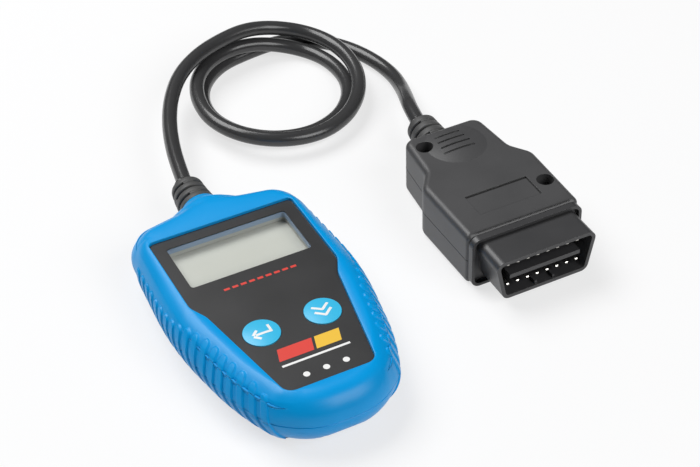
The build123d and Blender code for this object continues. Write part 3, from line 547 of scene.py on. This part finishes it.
def loops_to_mesh(bm, loops):
    """Rows of vertices bridged by quads; returns the rows."""
    rows = [[bm.verts.new(p * MM) for p in loop] for loop in loops]
    for low, high in zip(rows, rows[1:]):
        bridge(bm, low, high)
    return rows


def close_ends(bm, rows):
    """One face over the first row and one over the last."""
    bm.faces.new(rows[0])
    bm.faces.new(rows[-1])


def fill_between(bm, *rows):
    """A flat face with holes, from its outer row and its hole rows."""
    edges = []
    for row in rows:
        for i, vert in enumerate(row):
            other = row[(i + 1) % len(row)]
            edges.append(bm.edges.get((vert, other)) or bm.edges.new((vert, other)))
    bmesh.ops.triangle_fill(bm, use_beauty=True, use_dissolve=False, edges=edges)


def finish_mesh(bm, name, finish, body, angle=32, smooth=True):
    """Turns the mesh work into a piece that rides on a body."""
    bmesh.ops.remove_doubles(bm, verts=bm.verts, dist=weld_distance)
    bmesh.ops.recalc_face_normals(bm, faces=bm.faces)
    mesh = bpy.data.meshes.new(name)
    bm.to_mesh(mesh)
    bm.free()
    if smooth:
        mesh.shade_smooth()
        mesh.set_sharp_from_angle(angle=math.radians(angle))
    mesh.materials.append(finishes[finish])
    piece = bpy.data.objects.new(name, mesh)
    scene.collection.objects.link(piece)
    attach(piece, body)
    print(name, len(mesh.vertices), "points")
    return piece


# %% [markdown]
# The front cover has a long opening that the dark faceplate fills, and under it a window for the
# display and two round holes for the keys. Booleans could cut them, but their edges would chip
# the fine skin. Here each opening is a loop of points that the mesh is built up to.

# %% Openings of the front cover
plate_corners = [(0, 39.05), (27.3, 39.05), (27.4, 1.6), (24.1, -5.2), (15.9, -49.65), (0, -49.65)]
plate_radii, plate_arc_steps = [2.0, 7.0, 9.0, 4.0], 10
plate_line = Outline(rounded(plate_corners, plate_radii, plate_arc_steps))
recess_level, ceiling_level = 20.35, 18.35
window_width, window_length, window_y, window_radius = 45.2, 22.95, 22.9, 1.2
key_x, key_y, key_radius, key_play = 11.14, -19.95, 6.35, 0.15


def rounded_rectangle(y, half_width, half_length, radius, level, steps=6):
    """A loop round a rectangle with round corners, centred on the middle line at y."""
    points = []
    for sx, sy, start in ((1, 1, 0), (-1, 1, 90), (-1, -1, 180), (1, -1, 270)):
        for i in range(steps + 1):
            angle = math.radians(start + 90 * i / steps)
            points.append(Vector((sx * (half_width - radius) + radius * math.cos(angle),
                                  y + sy * (half_length - radius) + radius * math.sin(angle), level)))
    return points


def window_loop(level, shrink=0.0):
    """The edge of the display's window, made smaller all round by shrink."""
    return rounded_rectangle(window_y, window_width / 2 - shrink, window_length / 2 - shrink,
                             window_radius, level)


def circle(x, y, radius, level, count=64):
    """A loop round a circle."""
    return [Vector((x + radius * math.cos(2 * math.pi * i / count),
                    y + radius * math.sin(2 * math.pi * i / count), level)) for i in range(count)]


print("faceplate: half of its edge is", round(plate_line.length, 1), "mm")

# %% [markdown]
# The faceplate's edge isn't parallel to the case's outline, yet every column has to end on it.
# Spreading the columns evenly would twist the shoulder, so each ends at the edge's nearest place.
# The places are then evened out, and kept apart, so that no two columns end in one point.

# %% Where the columns meet the faceplate
plate_step, least_gap, even_reach = 0.1, 0.02, 4
plate_points = [plate_line.at(plate_step * i) for i in range(int(plate_line.length / plate_step) + 1)]
tops = [leaning(place, rim_level) for place in columns]
rooms = []
for top in tops:
    edge = case_line.at(top)
    rooms.append(min((spot - edge).length for spot in plate_points))
profiles = [upper_profile(place, room) for place, room in zip(columns, rooms)]
nearest_places = []
for top, profile in zip(tops, profiles):
    rim_spot = inside(top, profile[-1][0])
    nearest = min(range(len(plate_points)), key=lambda i: (plate_points[i] - rim_spot).length_squared)
    nearest_places.append(plate_step * nearest)
groups = [nearest_places[max(i - even_reach, 0):i + even_reach + 1] for i in range(len(columns))]
plate_places = [sum(group) / len(group) for group in groups]
plate_places[0] = 0.0
last = len(columns) - 1
for i in range(1, last + 1):
    plate_places[i] = max(plate_places[i], plate_places[i - 1] + least_gap)
plate_places = [min(there, plate_line.length - least_gap * (last - i))
                for i, there in enumerate(plate_places)]
plate_places[-1] = plate_line.length


def plate_edge(level, grow=0.0):
    """The faceplate's edge, one point for each column, moved outward by grow."""
    spots = [plate_line.at(there) - plate_line.inward(there) * grow for there in plate_places]
    return ring([Vector((max(spot.x, 0.0), spot.y, level)) for spot in spots])


print("shoulder:", round(min(rooms), 1), "to", round(max(rooms), 1), "mm wide")

# %% [markdown]
# Where the cable comes out, both covers flare into a collar. It is a lathe shape with an oval
# section that widens as it sinks into the case, so it grows out of the roof like a fillet.

# %% Collar
collar_stations = [(58.4, 7.3, 7.2), (58.3, 7.55, 7.42), (58.05, 7.68, 7.52), (57.6, 7.8, 7.6),
                   (57.0, 8.1, 7.75), (56.4, 8.7, 8.0), (55.8, 9.8, 8.3), (55.2, 11.3, 8.6),
                   (54.4, 13.2, 8.9), (53.3, 15.4, 9.1), (51.5, 18.5, 9.2)]
collar_bore, collar_steps = 5.7, 28
collar_angles = [math.pi * i / collar_steps for i in range(collar_steps + 1)]


def add_collar(bm, side):
    """Half of the collar as a closed shell; side is 1 for the upper half and -1 for the lower."""
    bore = [(station[0], collar_bore, collar_bore) for station in (collar_stations[-1], collar_stations[0])]
    rows = []
    for y, half_width, height in collar_stations + bore:
        arc = [Vector((half_width * math.cos(angle), y, seam_level + side * height * math.sin(angle)))
               for angle in collar_angles]
        rows.append([bm.verts.new(p * MM) for p in arc])
    rows.append(rows[0])
    for low, high in zip(rows, rows[1:]):
        bridge(bm, low, high, closed=False)
    for end in (0, -1):
        bm.faces.new([row[end] for row in rows[:-1]])


print("collar:", len(collar_stations), "stations")

# %% [markdown]
# The blue upper shell is moulded in one piece. Its outside rises in loops from the seam to a thin
# lip round the faceplate and drops into the recess. The recess's floor has the window and the two
# key holes in it, and the inside and the seam's flat edge close the shell.

# %% Front cover
front = bmesh.new()
alongs = [measured(profile) for profile in profiles]
loops = []
for i in range(len(profiles[0])):
    loops.append(ring([skin_point(place, profile, along, i)
                       for place, profile, along in zip(columns, profiles, alongs)]))
lip = ((rim_level, lip_width), (rim_level - 0.08, 0.16), (rim_level - 0.25, 0.1), (recess_level, 0.1))
loops += [plate_edge(level, grow) for level, grow in lip]
rows = loops_to_mesh(front, loops)
window_rows = loops_to_mesh(front, [window_loop(recess_level), window_loop(ceiling_level)])
key_rows = []
for side in (1, -1):
    key_rows.append(loops_to_mesh(front, [circle(side * key_x, key_y, key_radius + key_play, level)
                                          for level in (recess_level, ceiling_level)]))
fill_between(front, rows[-1], window_rows[0], key_rows[0][0], key_rows[1][0])
inner_rows = loops_to_mesh(front, [inner_loop(wall, level) for level in (ceiling_level, seam_level)])
fill_between(front, inner_rows[0], window_rows[1], key_rows[0][1], key_rows[1][1])
bridge(front, rows[0], inner_rows[1])
add_collar(front, 1)
front_cover = finish_mesh(front, "front_cover_skin", "blue_plastic", "reader", angle=38)
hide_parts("front_cover")

# %% [markdown]
# The blue lower shell is the same kind of skin, turned down: the ribs run on over its sides, the
# belly turns under, and one face fills the back, flat but for the sweep at the foot.

# %% Rear cover
rear = bmesh.new()
loops = []
for i in range(len(belly)):
    spots = [skin_point(place, belly, [0.0] * len(belly), i) for place in columns]
    loops.append(ring([Vector((p.x, p.y, max(p.z, keel_level(p.y)))) for p in spots]))
rows = loops_to_mesh(rear, loops)
fill_between(rear, rows[-1])
inner_steps = ((wall, seam_level), (wall, 8.5), (wall + 3.5, 4.5))
inner_rows = loops_to_mesh(rear, [inner_loop(inset, level) for inset, level in inner_steps])
fill_between(rear, inner_rows[-1])
bridge(rear, rows[0], inner_rows[0])
add_collar(rear, -1)
rear_cover = finish_mesh(rear, "rear_cover_skin", "blue_plastic", "reader", angle=38)
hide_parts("rear_cover")

# %% [markdown]
# Four screws hold the covers together from the back, and a bare plate is let into the back. Each
# pocket is cut with a boolean, one by one, and its cutter is removed once used. The cutters stand
# a hair off the skin's own points, which a boolean handles better. The exact solver goes first;
# where it leaves a scrap below the back, the fast one takes its place, and that one may leave
# the pocket closed, so each cut says which solver made it and how many points it added.

# %% Pockets in the back
scrap_reach, pocket_mouth, label_mouth = 0.01, -0.97, -1.0
screw_radius, pocket_radius, pocket_sides, pocket_nudge, pocket_play = 2.5, 2.7, 41, (0.013, 0.017), 0.053
foot_screw = (17.0, -49.4)
label_radius, label_play = 2.5, 0.05


def lowest_point(mesh):
    """The level of a mesh's lowest point."""
    return min(v.co.z for v in mesh.vertices)


def prism(bm, loop, bottom, top):
    """A closed prism over a loop of points."""
    rows = [[bm.verts.new(Vector((p.x, p.y, level)) * MM) for p in loop] for level in (bottom, top)]
    close_ends(bm, rows)
    bridge(bm, *rows)


def cut(piece, loop, bottom, top):
    """Takes a prism away from a piece."""
    block = bmesh.new()
    prism(block, loop, bottom, top)
    bmesh.ops.recalc_face_normals(block, faces=block.faces)
    mesh = bpy.data.meshes.new("cutter")
    block.to_mesh(mesh)
    block.free()
    cutter = bpy.data.objects.new("cutter", mesh)
    scene.collection.objects.link(cutter)
    pocket = piece.modifiers.new("pocket", "BOOLEAN")
    pocket.operation, pocket.object = "DIFFERENCE", cutter
    floor_level = lowest_point(piece.data)
    for solver in ("EXACT", "FAST"):
        pocket.solver = solver
        bpy.context.view_layer.update()
        done = bpy.data.meshes.new_from_object(piece.evaluated_get(bpy.context.evaluated_depsgraph_get()))
        if lowest_point(done) > floor_level - scrap_reach * MM:
            break
    piece.modifiers.clear()
    added = len(done.vertices) - len(piece.data.vertices)
    piece.data = done
    bpy.data.objects.remove(cutter)
    print("pocket up to", round(top, 2), "mm, solver", solver, "added", added, "points")


low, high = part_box("case_screws")
shoulder_screw = (high.x / MM - screw_radius, high.y / MM - screw_radius)
for side in (1, -1):
    for x, y in (shoulder_screw, foot_screw):
        mouth = circle(side * x + pocket_nudge[0], y + pocket_nudge[1], pocket_radius, 0, pocket_sides)
        cut(rear_cover, mouth, pocket_mouth, low.z / MM + pocket_play)
low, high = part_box("rear_label")
label_loop = rounded_rectangle((high.y + low.y) / 2 / MM, high.x / MM + label_play,
                               (high.y - low.y) / 2 / MM + label_play, label_radius, 0)
cut(rear_cover, label_loop, label_mouth, high.z / MM)
print("rear cover:", len(rear_cover.data.vertices), "points left, lowest",
      round(lowest_point(rear_cover.data) / MM, 3), "mm")

# %% [markdown]
# The strain reliefs are soft rings on a core, with bridges between the rings that alternate from
# side to side, so that they bend evenly. A torus stack would miss the bridges, so one grid is
# wrapped round the axis, its radius read from a function, and the whole is bent along an arc.

# %% Strain reliefs
slot_width, slot_corner, core_radius = 1.15, 0.06, 4.6
boot_radius, boot_taper, ring_corner, ring_round = 7.3, 1.3, 0.4, 0.3
bridge_cosine, bridge_drop = 0.93, 0.12
root_depth, root_radius, tip_radius = 2.5, 5.55, 5.3
mouth_radius, mouth_depth, grip_radius = 2.95, 1.5, 2.9
ring_shares = (0, 0.04, 0.1, 0.2, 0.5, 0.8, 0.9, 0.96, 1)
boot_sides, hair = 80, 0.001
spokes = [2 * math.pi * i / boot_sides for i in range(boot_sides)]


def ring_radius(along, angle, length, rings):
    """The outside radius at a place on the boot: rings, slots, and bridges across the slots."""
    pitch = (length + slot_width) / rings
    number, rest = int(along // pitch), along % pitch
    ring_end = pitch - slot_width
    outer = boot_radius - boot_taper * along / length
    if rest > ring_end + hair and number < rings - 1:
        side = angle if number % 2 else angle + math.pi / 2
        return core_radius if abs(math.cos(side)) < bridge_cosine else outer - bridge_drop
    edge = min(rest, ring_end - rest)
    return outer - ring_round * (1 - min(1.0, max(0.0, edge) / ring_corner)) ** 2


def boot_stations(length, rings):
    """How far along the boot its loops lie: close together at the edges of each ring and slot."""
    pitch = (length + slot_width) / rings
    stations = []
    for number in range(rings):
        start, end = number * pitch, (number + 1) * pitch - slot_width
        stations += [start + (end - start) * share for share in ring_shares]
        if number < rings - 1:
            stations += [end + slot_corner, end + slot_width / 2, end + slot_width - slot_corner]
    return stations


def add_boot(name, root, length, rings, straight, bend_per_mm, node):
    """A boot from its root point along +Y: straight at first, then bending towards +X."""
    curve = math.radians(bend_per_mm)

    def row(along, radii):
        angle = curve * max(along - straight, 0.0)
        middle = Vector(root) + Vector(((1 - math.cos(angle)) / curve, math.sin(angle) / curve
                                        + min(along, straight), 0))
        across = Vector((math.cos(angle), -math.sin(angle), 0))
        return [middle + across * radius * math.cos(spoke) + Vector((0, 0, radius * math.sin(spoke)))
                for spoke, radius in zip(spokes, radii)]

    def plain_row(along, radius):
        return row(along, [radius] * boot_sides)

    loops = [plain_row(-root_depth, root_radius), plain_row(0.0, root_radius)]
    loops += [row(along, [ring_radius(along, spoke, length, rings) for spoke in spokes])
              for along in boot_stations(length, rings)]
    loops += [plain_row(length, tip_radius), plain_row(length, mouth_radius),
              plain_row(length - mouth_depth, grip_radius)]
    bm = bmesh.new()
    close_ends(bm, loops_to_mesh(bm, loops))
    boot = finish_mesh(bm, name, "boot_rubber", "reader", angle=40)
    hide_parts(node)
    return boot


add_boot("reader_boot_rings", (0, 58.5, 12.5), 13.4, 4, 2.65, 10 / 14.5, "reader_boot")
plug_boot = add_boot("plug_boot_rings", (94.1, 49.25, 11.5), 15.6, 4, 0, 8 / 18.5, "plug_boot")

# %% [markdown]
# Three printing inks, for the faceplate and the keys. A print could be painted by the material,
# but thin raised ink is simple to place, keeps a crisp edge and shows in the exported meshes. So
# each mark is a flat prism a few hundredths of a millimetre thick.

# %% Inks
moulded("red_ink", (0.72, 0.05, 0.035), 0.4, grain=0.2, depth=0.002, shade=0.03, edge=0)
moulded("yellow_ink", (0.85, 0.52, 0.04), 0.4, grain=0.2, depth=0.002, shade=0.03, edge=0)
moulded("white_ink", (0.86, 0.86, 0.85), 0.4, grain=0.2, depth=0.002, shade=0.02, edge=0)
plate_top, print_and_shade_thickness = 20.85, 0.03


def bar(x0, y0, x1, y1, width, slant=0.0):
    """A thick line as a loop of four points; slant moves its far side along x."""
    run = Vector((x1 - x0, y1 - y0))
    side = Vector((-run.y, run.x)).normalized() * width / 2
    return [Vector((x0 - side.x, y0 - side.y, 0)), Vector((x1 - side.x, y1 - side.y, 0)),
            Vector((x1 + side.x + slant, y1 + side.y, 0)), Vector((x0 + side.x + slant, y0 + side.y, 0))]


def add_print_or_painted_shade(name, loops, level, finish):
    """Several thin flat shapes as one piece: printed ink, or painted shade on the plug."""
    bm = bmesh.new()
    for loop in loops:
        prism(bm, loop, level, level + print_and_shade_thickness)
    return finish_mesh(bm, name, finish, "reader", smooth=False)


# %% [markdown]
# The faceplate's print is generic: a dashed line under the display, two slanted colour bars, a
# thin rule and three dots. Each is a loop of points on the faceplate, so that a list of names,
# inks and loops is all that the helper needs.

# %% Prints on the faceplate
dash_count, dash_first, dash_pitch, dash_length, dash_y, dash_width = 9, -13.4, 3.1, 2.1, 5.3, 1.0
bar_y, bar_height, bar_slant = -32.4, 5.6, 1.6
rule_y, rule_width = -37.6, 0.9
dot_y, dot_radius, dot_sides = -44.2, 1.15, 32
dash_starts = [dash_first + i * dash_pitch for i in range(dash_count)]
dashes = [bar(x, dash_y, x + dash_length, dash_y, dash_width) for x in dash_starts]
dots = [circle(x, dot_y, dot_radius, 0, dot_sides) for x in (-6.5, 0.6, 7.7)]
plate_prints = [("display_dashes", "red_ink", dashes),
                ("red_bar", "red_ink", [bar(-11.8, bar_y, 0.6, bar_y, bar_height, bar_slant)]),
                ("yellow_bar", "yellow_ink", [bar(1.6, bar_y, 10.6, bar_y, bar_height, bar_slant)]),
                ("foot_rule", "white_ink", [bar(-12.0, rule_y, 12.4, rule_y, rule_width)]),
                ("foot_dots", "white_ink", dots)]
for name, finish, loops in plate_prints:
    add_print_or_painted_shade(name, loops, plate_top, finish)

# %% [markdown]
# Where the window sits in the cover, the edge of the opening shows as a pale grey-blue line: the
# cover's blue wall, paled by a reflection in the pane's edge. A material can't tell that edge from
# the rest of the cover, so a thin sleeve lines the opening, and its colour is a painted reflection.

# %% Window lining with a painted reflection
sleeve_top = recess_level - 0.02
sleeve_outside, sleeve_inside = 0.01, 0.14
sleeve = ((sleeve_top, sleeve_inside), (sleeve_top, sleeve_outside), (ceiling_level, sleeve_outside),
          (ceiling_level, sleeve_inside), (sleeve_top, sleeve_inside))
reflection_sleeve = bmesh.new()
loops_to_mesh(reflection_sleeve, [window_loop(level, shrink) for level, shrink in sleeve])
finish_mesh(reflection_sleeve, "window_edge_reflection", "edge_painted_reflection", "reader", smooth=False)

# %% [markdown]
# The plug's two shells meet at a seam that shows as a fine dark line all round. It could be drawn
# by hand, but the shell is there already: a level cut through a copy of its mesh gives the edges
# of its section, which are chained into paths. The widest path is the outside of the shell.

# %% Section of the plug
plug_x, plug_y = 94.1, -23.85
plug_seam_level, section_rise = 10.8, 0.4
shell = nodes["plug_upper_shell"]
cutting = bmesh.new()
cutting.from_mesh(shell.data)
cutting.transform(shell.matrix_world)
section = bmesh.ops.bisect_plane(cutting, geom=cutting.verts[:] + cutting.edges[:] + cutting.faces[:],
                                 plane_co=Vector((0, 0, (plug_seam_level + section_rise) * MM)),
                                 plane_no=(0, 0, 1))["geom_cut"]
neighbours = {}
for edge in section:
    if isinstance(edge, bmesh.types.BMEdge):
        a, b = (tuple(round(c / MM, 3) for c in v.co.xy) for v in edge.verts)
        if a != b:
            neighbours.setdefault(a, []).append(b)
            neighbours.setdefault(b, []).append(a)
cutting.free()
paths = []
while neighbours:
    here, path = next(iter(neighbours)), []
    while here is not None:
        path.append(here)
        here = next((n for n in neighbours.pop(here) if n in neighbours), None)
    paths.append(path)
outer = max(paths, key=lambda path: max(x for x, y in path) - min(x for x, y in path))
print("section of the plug:", len(paths), "paths, the outer one of", len(outer), "points")

# %% [markdown]
# A thin band follows that path, mostly sunk in the shell. It is a square tube: each point of the
# path gets four corners, two inside the shell and two outside, and quads join the neighbours.

# %% Seam of the plug
seam_sunk, seam_proud, seam_half_height = -0.2, 0.04, 0.13
middle = Vector([sum(c) / len(outer) for c in zip(*outer)])
outward = []
for i, spot in enumerate(outer):
    run = (Vector(outer[(i + 1) % len(outer)]) - Vector(outer[i - 1])).normalized()
    out = Vector((run.y, -run.x))
    outward.append(out if out.dot(Vector(spot) - middle) >= 0 else -out)
corners = ((seam_sunk, -seam_half_height), (seam_proud, -seam_half_height),
           (seam_proud, seam_half_height), (seam_sunk, seam_half_height))
seam = bmesh.new()
bands = [[seam.verts.new(Vector((x + out.x * reach, y + out.y * reach, plug_seam_level + rise)) * MM)
          for reach, rise in corners] for (x, y), out in zip(outer, outward)]
for band, after in zip(bands, bands[1:] + bands[:1]):
    for k in range(4):
        seam.faces.new((band[k], after[k], after[(k + 1) % 4], band[(k + 1) % 4]))
# The band's near-black finish is painted shade: it stands for the shadow in the fine gap between the shells.
finish_mesh(seam, "plug_seam", "seam_shadow", "reader", smooth=False)

# %% [markdown]
# Small lines make a moulding believable: a deep painted shadow along two edges of the bare recess
# in the plug's top, and a row of fine dark ticks on its front edge. Thin near-black prisms do both,
# made like the prints on the faceplate.

# %% Painted shadow and ticks on the plug
recess_x, recess_y, recess_width, recess_length, recess_floor = 0.1, 26.9, 25.2, 11.2, 21.5
recess_left, recess_right = (plug_x + recess_x + k * recess_width / 2 for k in (-1, 1))
recess_near, recess_far = (plug_y + recess_y + k * recess_length / 2 for k in (-1, 1))
# Painted shadow: a wide dark bar along the recess's far edge and a thin one along its right edge.
far_line, far_width, side_line, side_width = recess_far - 0.35, 0.66, recess_right - 0.16, 0.3
add_print_or_painted_shade("recess_painted_shadow", [bar(recess_left, far_line, recess_right, far_line, far_width),
                           bar(side_line, recess_near, side_line, recess_far, side_width)],
          recess_floor, "seam_shadow")
tick_count, tick_pitch, tick_y, tick_length, tick_width, tick_level = 62, 0.62, 12.75, 0.9, 0.26, 21.99
tick_places = [plug_x + (i - (tick_count - 1) / 2) * tick_pitch for i in range(tick_count)]
ticks = [bar(x, plug_y + tick_y, x, plug_y + tick_y + tick_length, tick_width) for x in tick_places]
add_print_or_painted_shade("edge_ticks", ticks, tick_level, "seam_shadow")

# %% [markdown]
# Sixteen metal blades stand in the plug's mouth, in two rows of eight. Each is a slim bar whose
# tip is chamfered, so that it slides into its socket: three square loops, one behind the other.

# %% Contact blades
blade_tip, blade_tail, blade_width, blade_height, blade_bevel = -0.8, 22.6, 1.15, 0.8, 0.25
contact_levels, contact_pitch, contacts_per_row = (7.04, 15.96), 4.0, 8
blade_loops = ((blade_tip, blade_width - 2 * blade_bevel, blade_height - 2 * blade_bevel),
               (blade_tip + blade_bevel, blade_width, blade_height), (blade_tail, blade_width, blade_height))
blades = bmesh.new()
for level in contact_levels:
    for i in range(contacts_per_row):
        x = plug_x + (i - (contacts_per_row - 1) / 2) * contact_pitch
        loops = [[Vector((x + sx * w / 2, plug_y + y, level + sz * h / 2))
                  for sx, sz in ((-1, -1), (1, -1), (1, 1), (-1, 1))] for y, w, h in blade_loops]
        close_ends(blades, loops_to_mesh(blades, loops))
contact_blades = finish_mesh(blades, "contact_blades", "tinned_metal", "reader", smooth=False)
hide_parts("contact_pins")

# %% [markdown]
# Each round key has a plain sign on its crown: a bent arrow on the left one, and two chevrons on
# the right one. A flat print would float over the crown or sink in it, so every stroke is cut
# into short lengths that follow the crown. The signs ride with their keys.

# %% Signs on the keys
key_top, crown_height = 21.1, 0.55
stroke_width, stroke_step, stroke_sunk = 0.95, 0.5, 0.05
arrow_strokes = [(3.1, 2.4, 3.1, -0.9), (3.55, -0.9, -2.4, -0.9), (-3.3, -0.6, -1.3, 1.2),
                 (-3.3, -1.2, -1.3, -3.0)]
chevron_strokes = [(-3.0, 2.6, 0.1, 0.0), (3.0, 2.6, -0.1, 0.0), (-3.0, -0.2, 0.1, -2.8),
                   (3.0, -0.2, -0.1, -2.8)]


def crown_level(x, y, key_middle):
    """The height of a key's crown."""
    reach = math.hypot(x - key_middle, y - key_y)
    return key_top + crown_height * (1 - (reach / key_radius) ** 2)


def add_sign(name, strokes, key_middle, body):
    """Strokes that follow the key's crown, given from the key's middle."""
    bm = bmesh.new()
    for stroke in strokes:
        x0, y0, x1, y1 = (c + d for c, d in zip(stroke, (key_middle, key_y) * 2))
        steps = max(2, round(math.hypot(x1 - x0, y1 - y0) / stroke_step))
        run = Vector((x1 - x0, y1 - y0)).normalized()
        across = Vector((-run.y, run.x)) * stroke_width / 2
        loops = []
        for i in range(steps + 1):
            x, y = x0 + (x1 - x0) * i / steps, y0 + (y1 - y0) * i / steps
            spots = [(x + k * across.x, y + k * across.y) for k in (-1, 0, 1)]
            loops.append([Vector((a, b, crown_level(a, b, key_middle) + rise))
                          for rise, line in ((-stroke_sunk, spots), (print_and_shade_thickness, spots[::-1])) for a, b in line])
        close_ends(bm, loops_to_mesh(bm, loops))
    return finish_mesh(bm, name, "white_ink", body)


add_sign("enter_sign", arrow_strokes, -key_x, "enter_button")
add_sign("scroll_sign", chevron_strokes, key_x, "scroll_button")

# %% [markdown]
# The bench is a plain pale floor. Most of what the camera and mirrored rays see of it is an even
# white, and the rest is real shading, so the shadows stay soft and faint as on a studio sweep.

# %% Floor
bench_half, bench_drop, even_white = 4.0, 0.05, 0.7
bench_mesh = bpy.data.meshes.new("bench")
bench_corners = [(sx * bench_half, sy * bench_half, 0) for sx, sy in ((-1, -1), (1, -1), (1, 1), (-1, 1))]
bench_mesh.from_pydata(bench_corners, [], [(0, 1, 2, 3)])
bench = bpy.data.objects.new("bench", bench_mesh)
bench.location.z = -bench_drop * MM
scene.collection.objects.link(bench)
tree = new_finish("bench_paper")
link = tree.links.new
paper = tree.nodes["Principled BSDF"]
paper.inputs["Base Color"].default_value = (0.86, 0.86, 0.87, 1)
paper.inputs["Roughness"].default_value = 0.6
paper.inputs["Specular IOR Level"].default_value = 0.2
glow = add_node(tree, "ShaderNodeEmission", {"Strength": 1.0})
rays = add_node(tree, "ShaderNodeLightPath")
seen = add_node(tree, "ShaderNodeMath", operation="MAXIMUM")
white_share = add_node(tree, "ShaderNodeMath", {1: even_white}, operation="MULTIPLY")
blend = add_node(tree, "ShaderNodeMixShader")
link(rays.outputs["Is Camera Ray"], seen.inputs[0])
link(rays.outputs["Is Glossy Ray"], seen.inputs[1])
link(seen.outputs[0], white_share.inputs[0])
link(white_share.outputs[0], blend.inputs["Fac"])
link(paper.outputs["BSDF"], blend.inputs[1])
link(glow.outputs["Emission"], blend.inputs[2])
link(blend.outputs["Shader"], tree.nodes["Material Output"].inputs["Surface"])
bench_mesh.materials.append(finishes["bench_paper"])
print("bench:", 2 * bench_half, "m wide")

# %% [markdown]
# The light is soft from all round. A large soft box stands above and behind on the left, and a
# weaker one in front on the right, at a level where a colour renders about as it is written.

# %% Light
air_light, seen_white = 0.6, 1.0
world = bpy.data.worlds.new("studio")
scene.world = world
world.use_nodes = True
tree = world.node_tree
link = tree.links.new
rays = add_node(tree, "ShaderNodeLightPath")
direct = add_node(tree, "ShaderNodeMath", operation="MAXIMUM")
strength = add_node(tree, "ShaderNodeMapRange", {"To Min": air_light, "To Max": seen_white})
link(rays.outputs["Is Camera Ray"], direct.inputs[0])
link(rays.outputs["Is Transmission Ray"], direct.inputs[1])
link(direct.outputs[0], strength.inputs["Value"])
link(strength.outputs["Result"], tree.nodes["Background"].inputs["Strength"])


def soft_box(name, place, width, height, power):
    """A rectangular lamp that faces the middle of the object."""
    lamp = bpy.data.lights.new(name, "AREA")
    lamp.shape, lamp.size, lamp.size_y, lamp.energy = "RECTANGLE", width, height, power
    box = bpy.data.objects.new(name, lamp)
    box.location = place
    box.rotation_euler = (aim - Vector(place)).to_track_quat("-Z", "Y").to_euler()
    scene.collection.objects.link(box)
    print(name, power, "W")


soft_box("box_above", (-0.35, 0.75, 1.25), 1.2, 0.9, 23)
soft_box("box_front", (0.6, -1.1, 1.0), 0.9, 0.9, 14)
scene.view_settings.view_transform = "Standard"
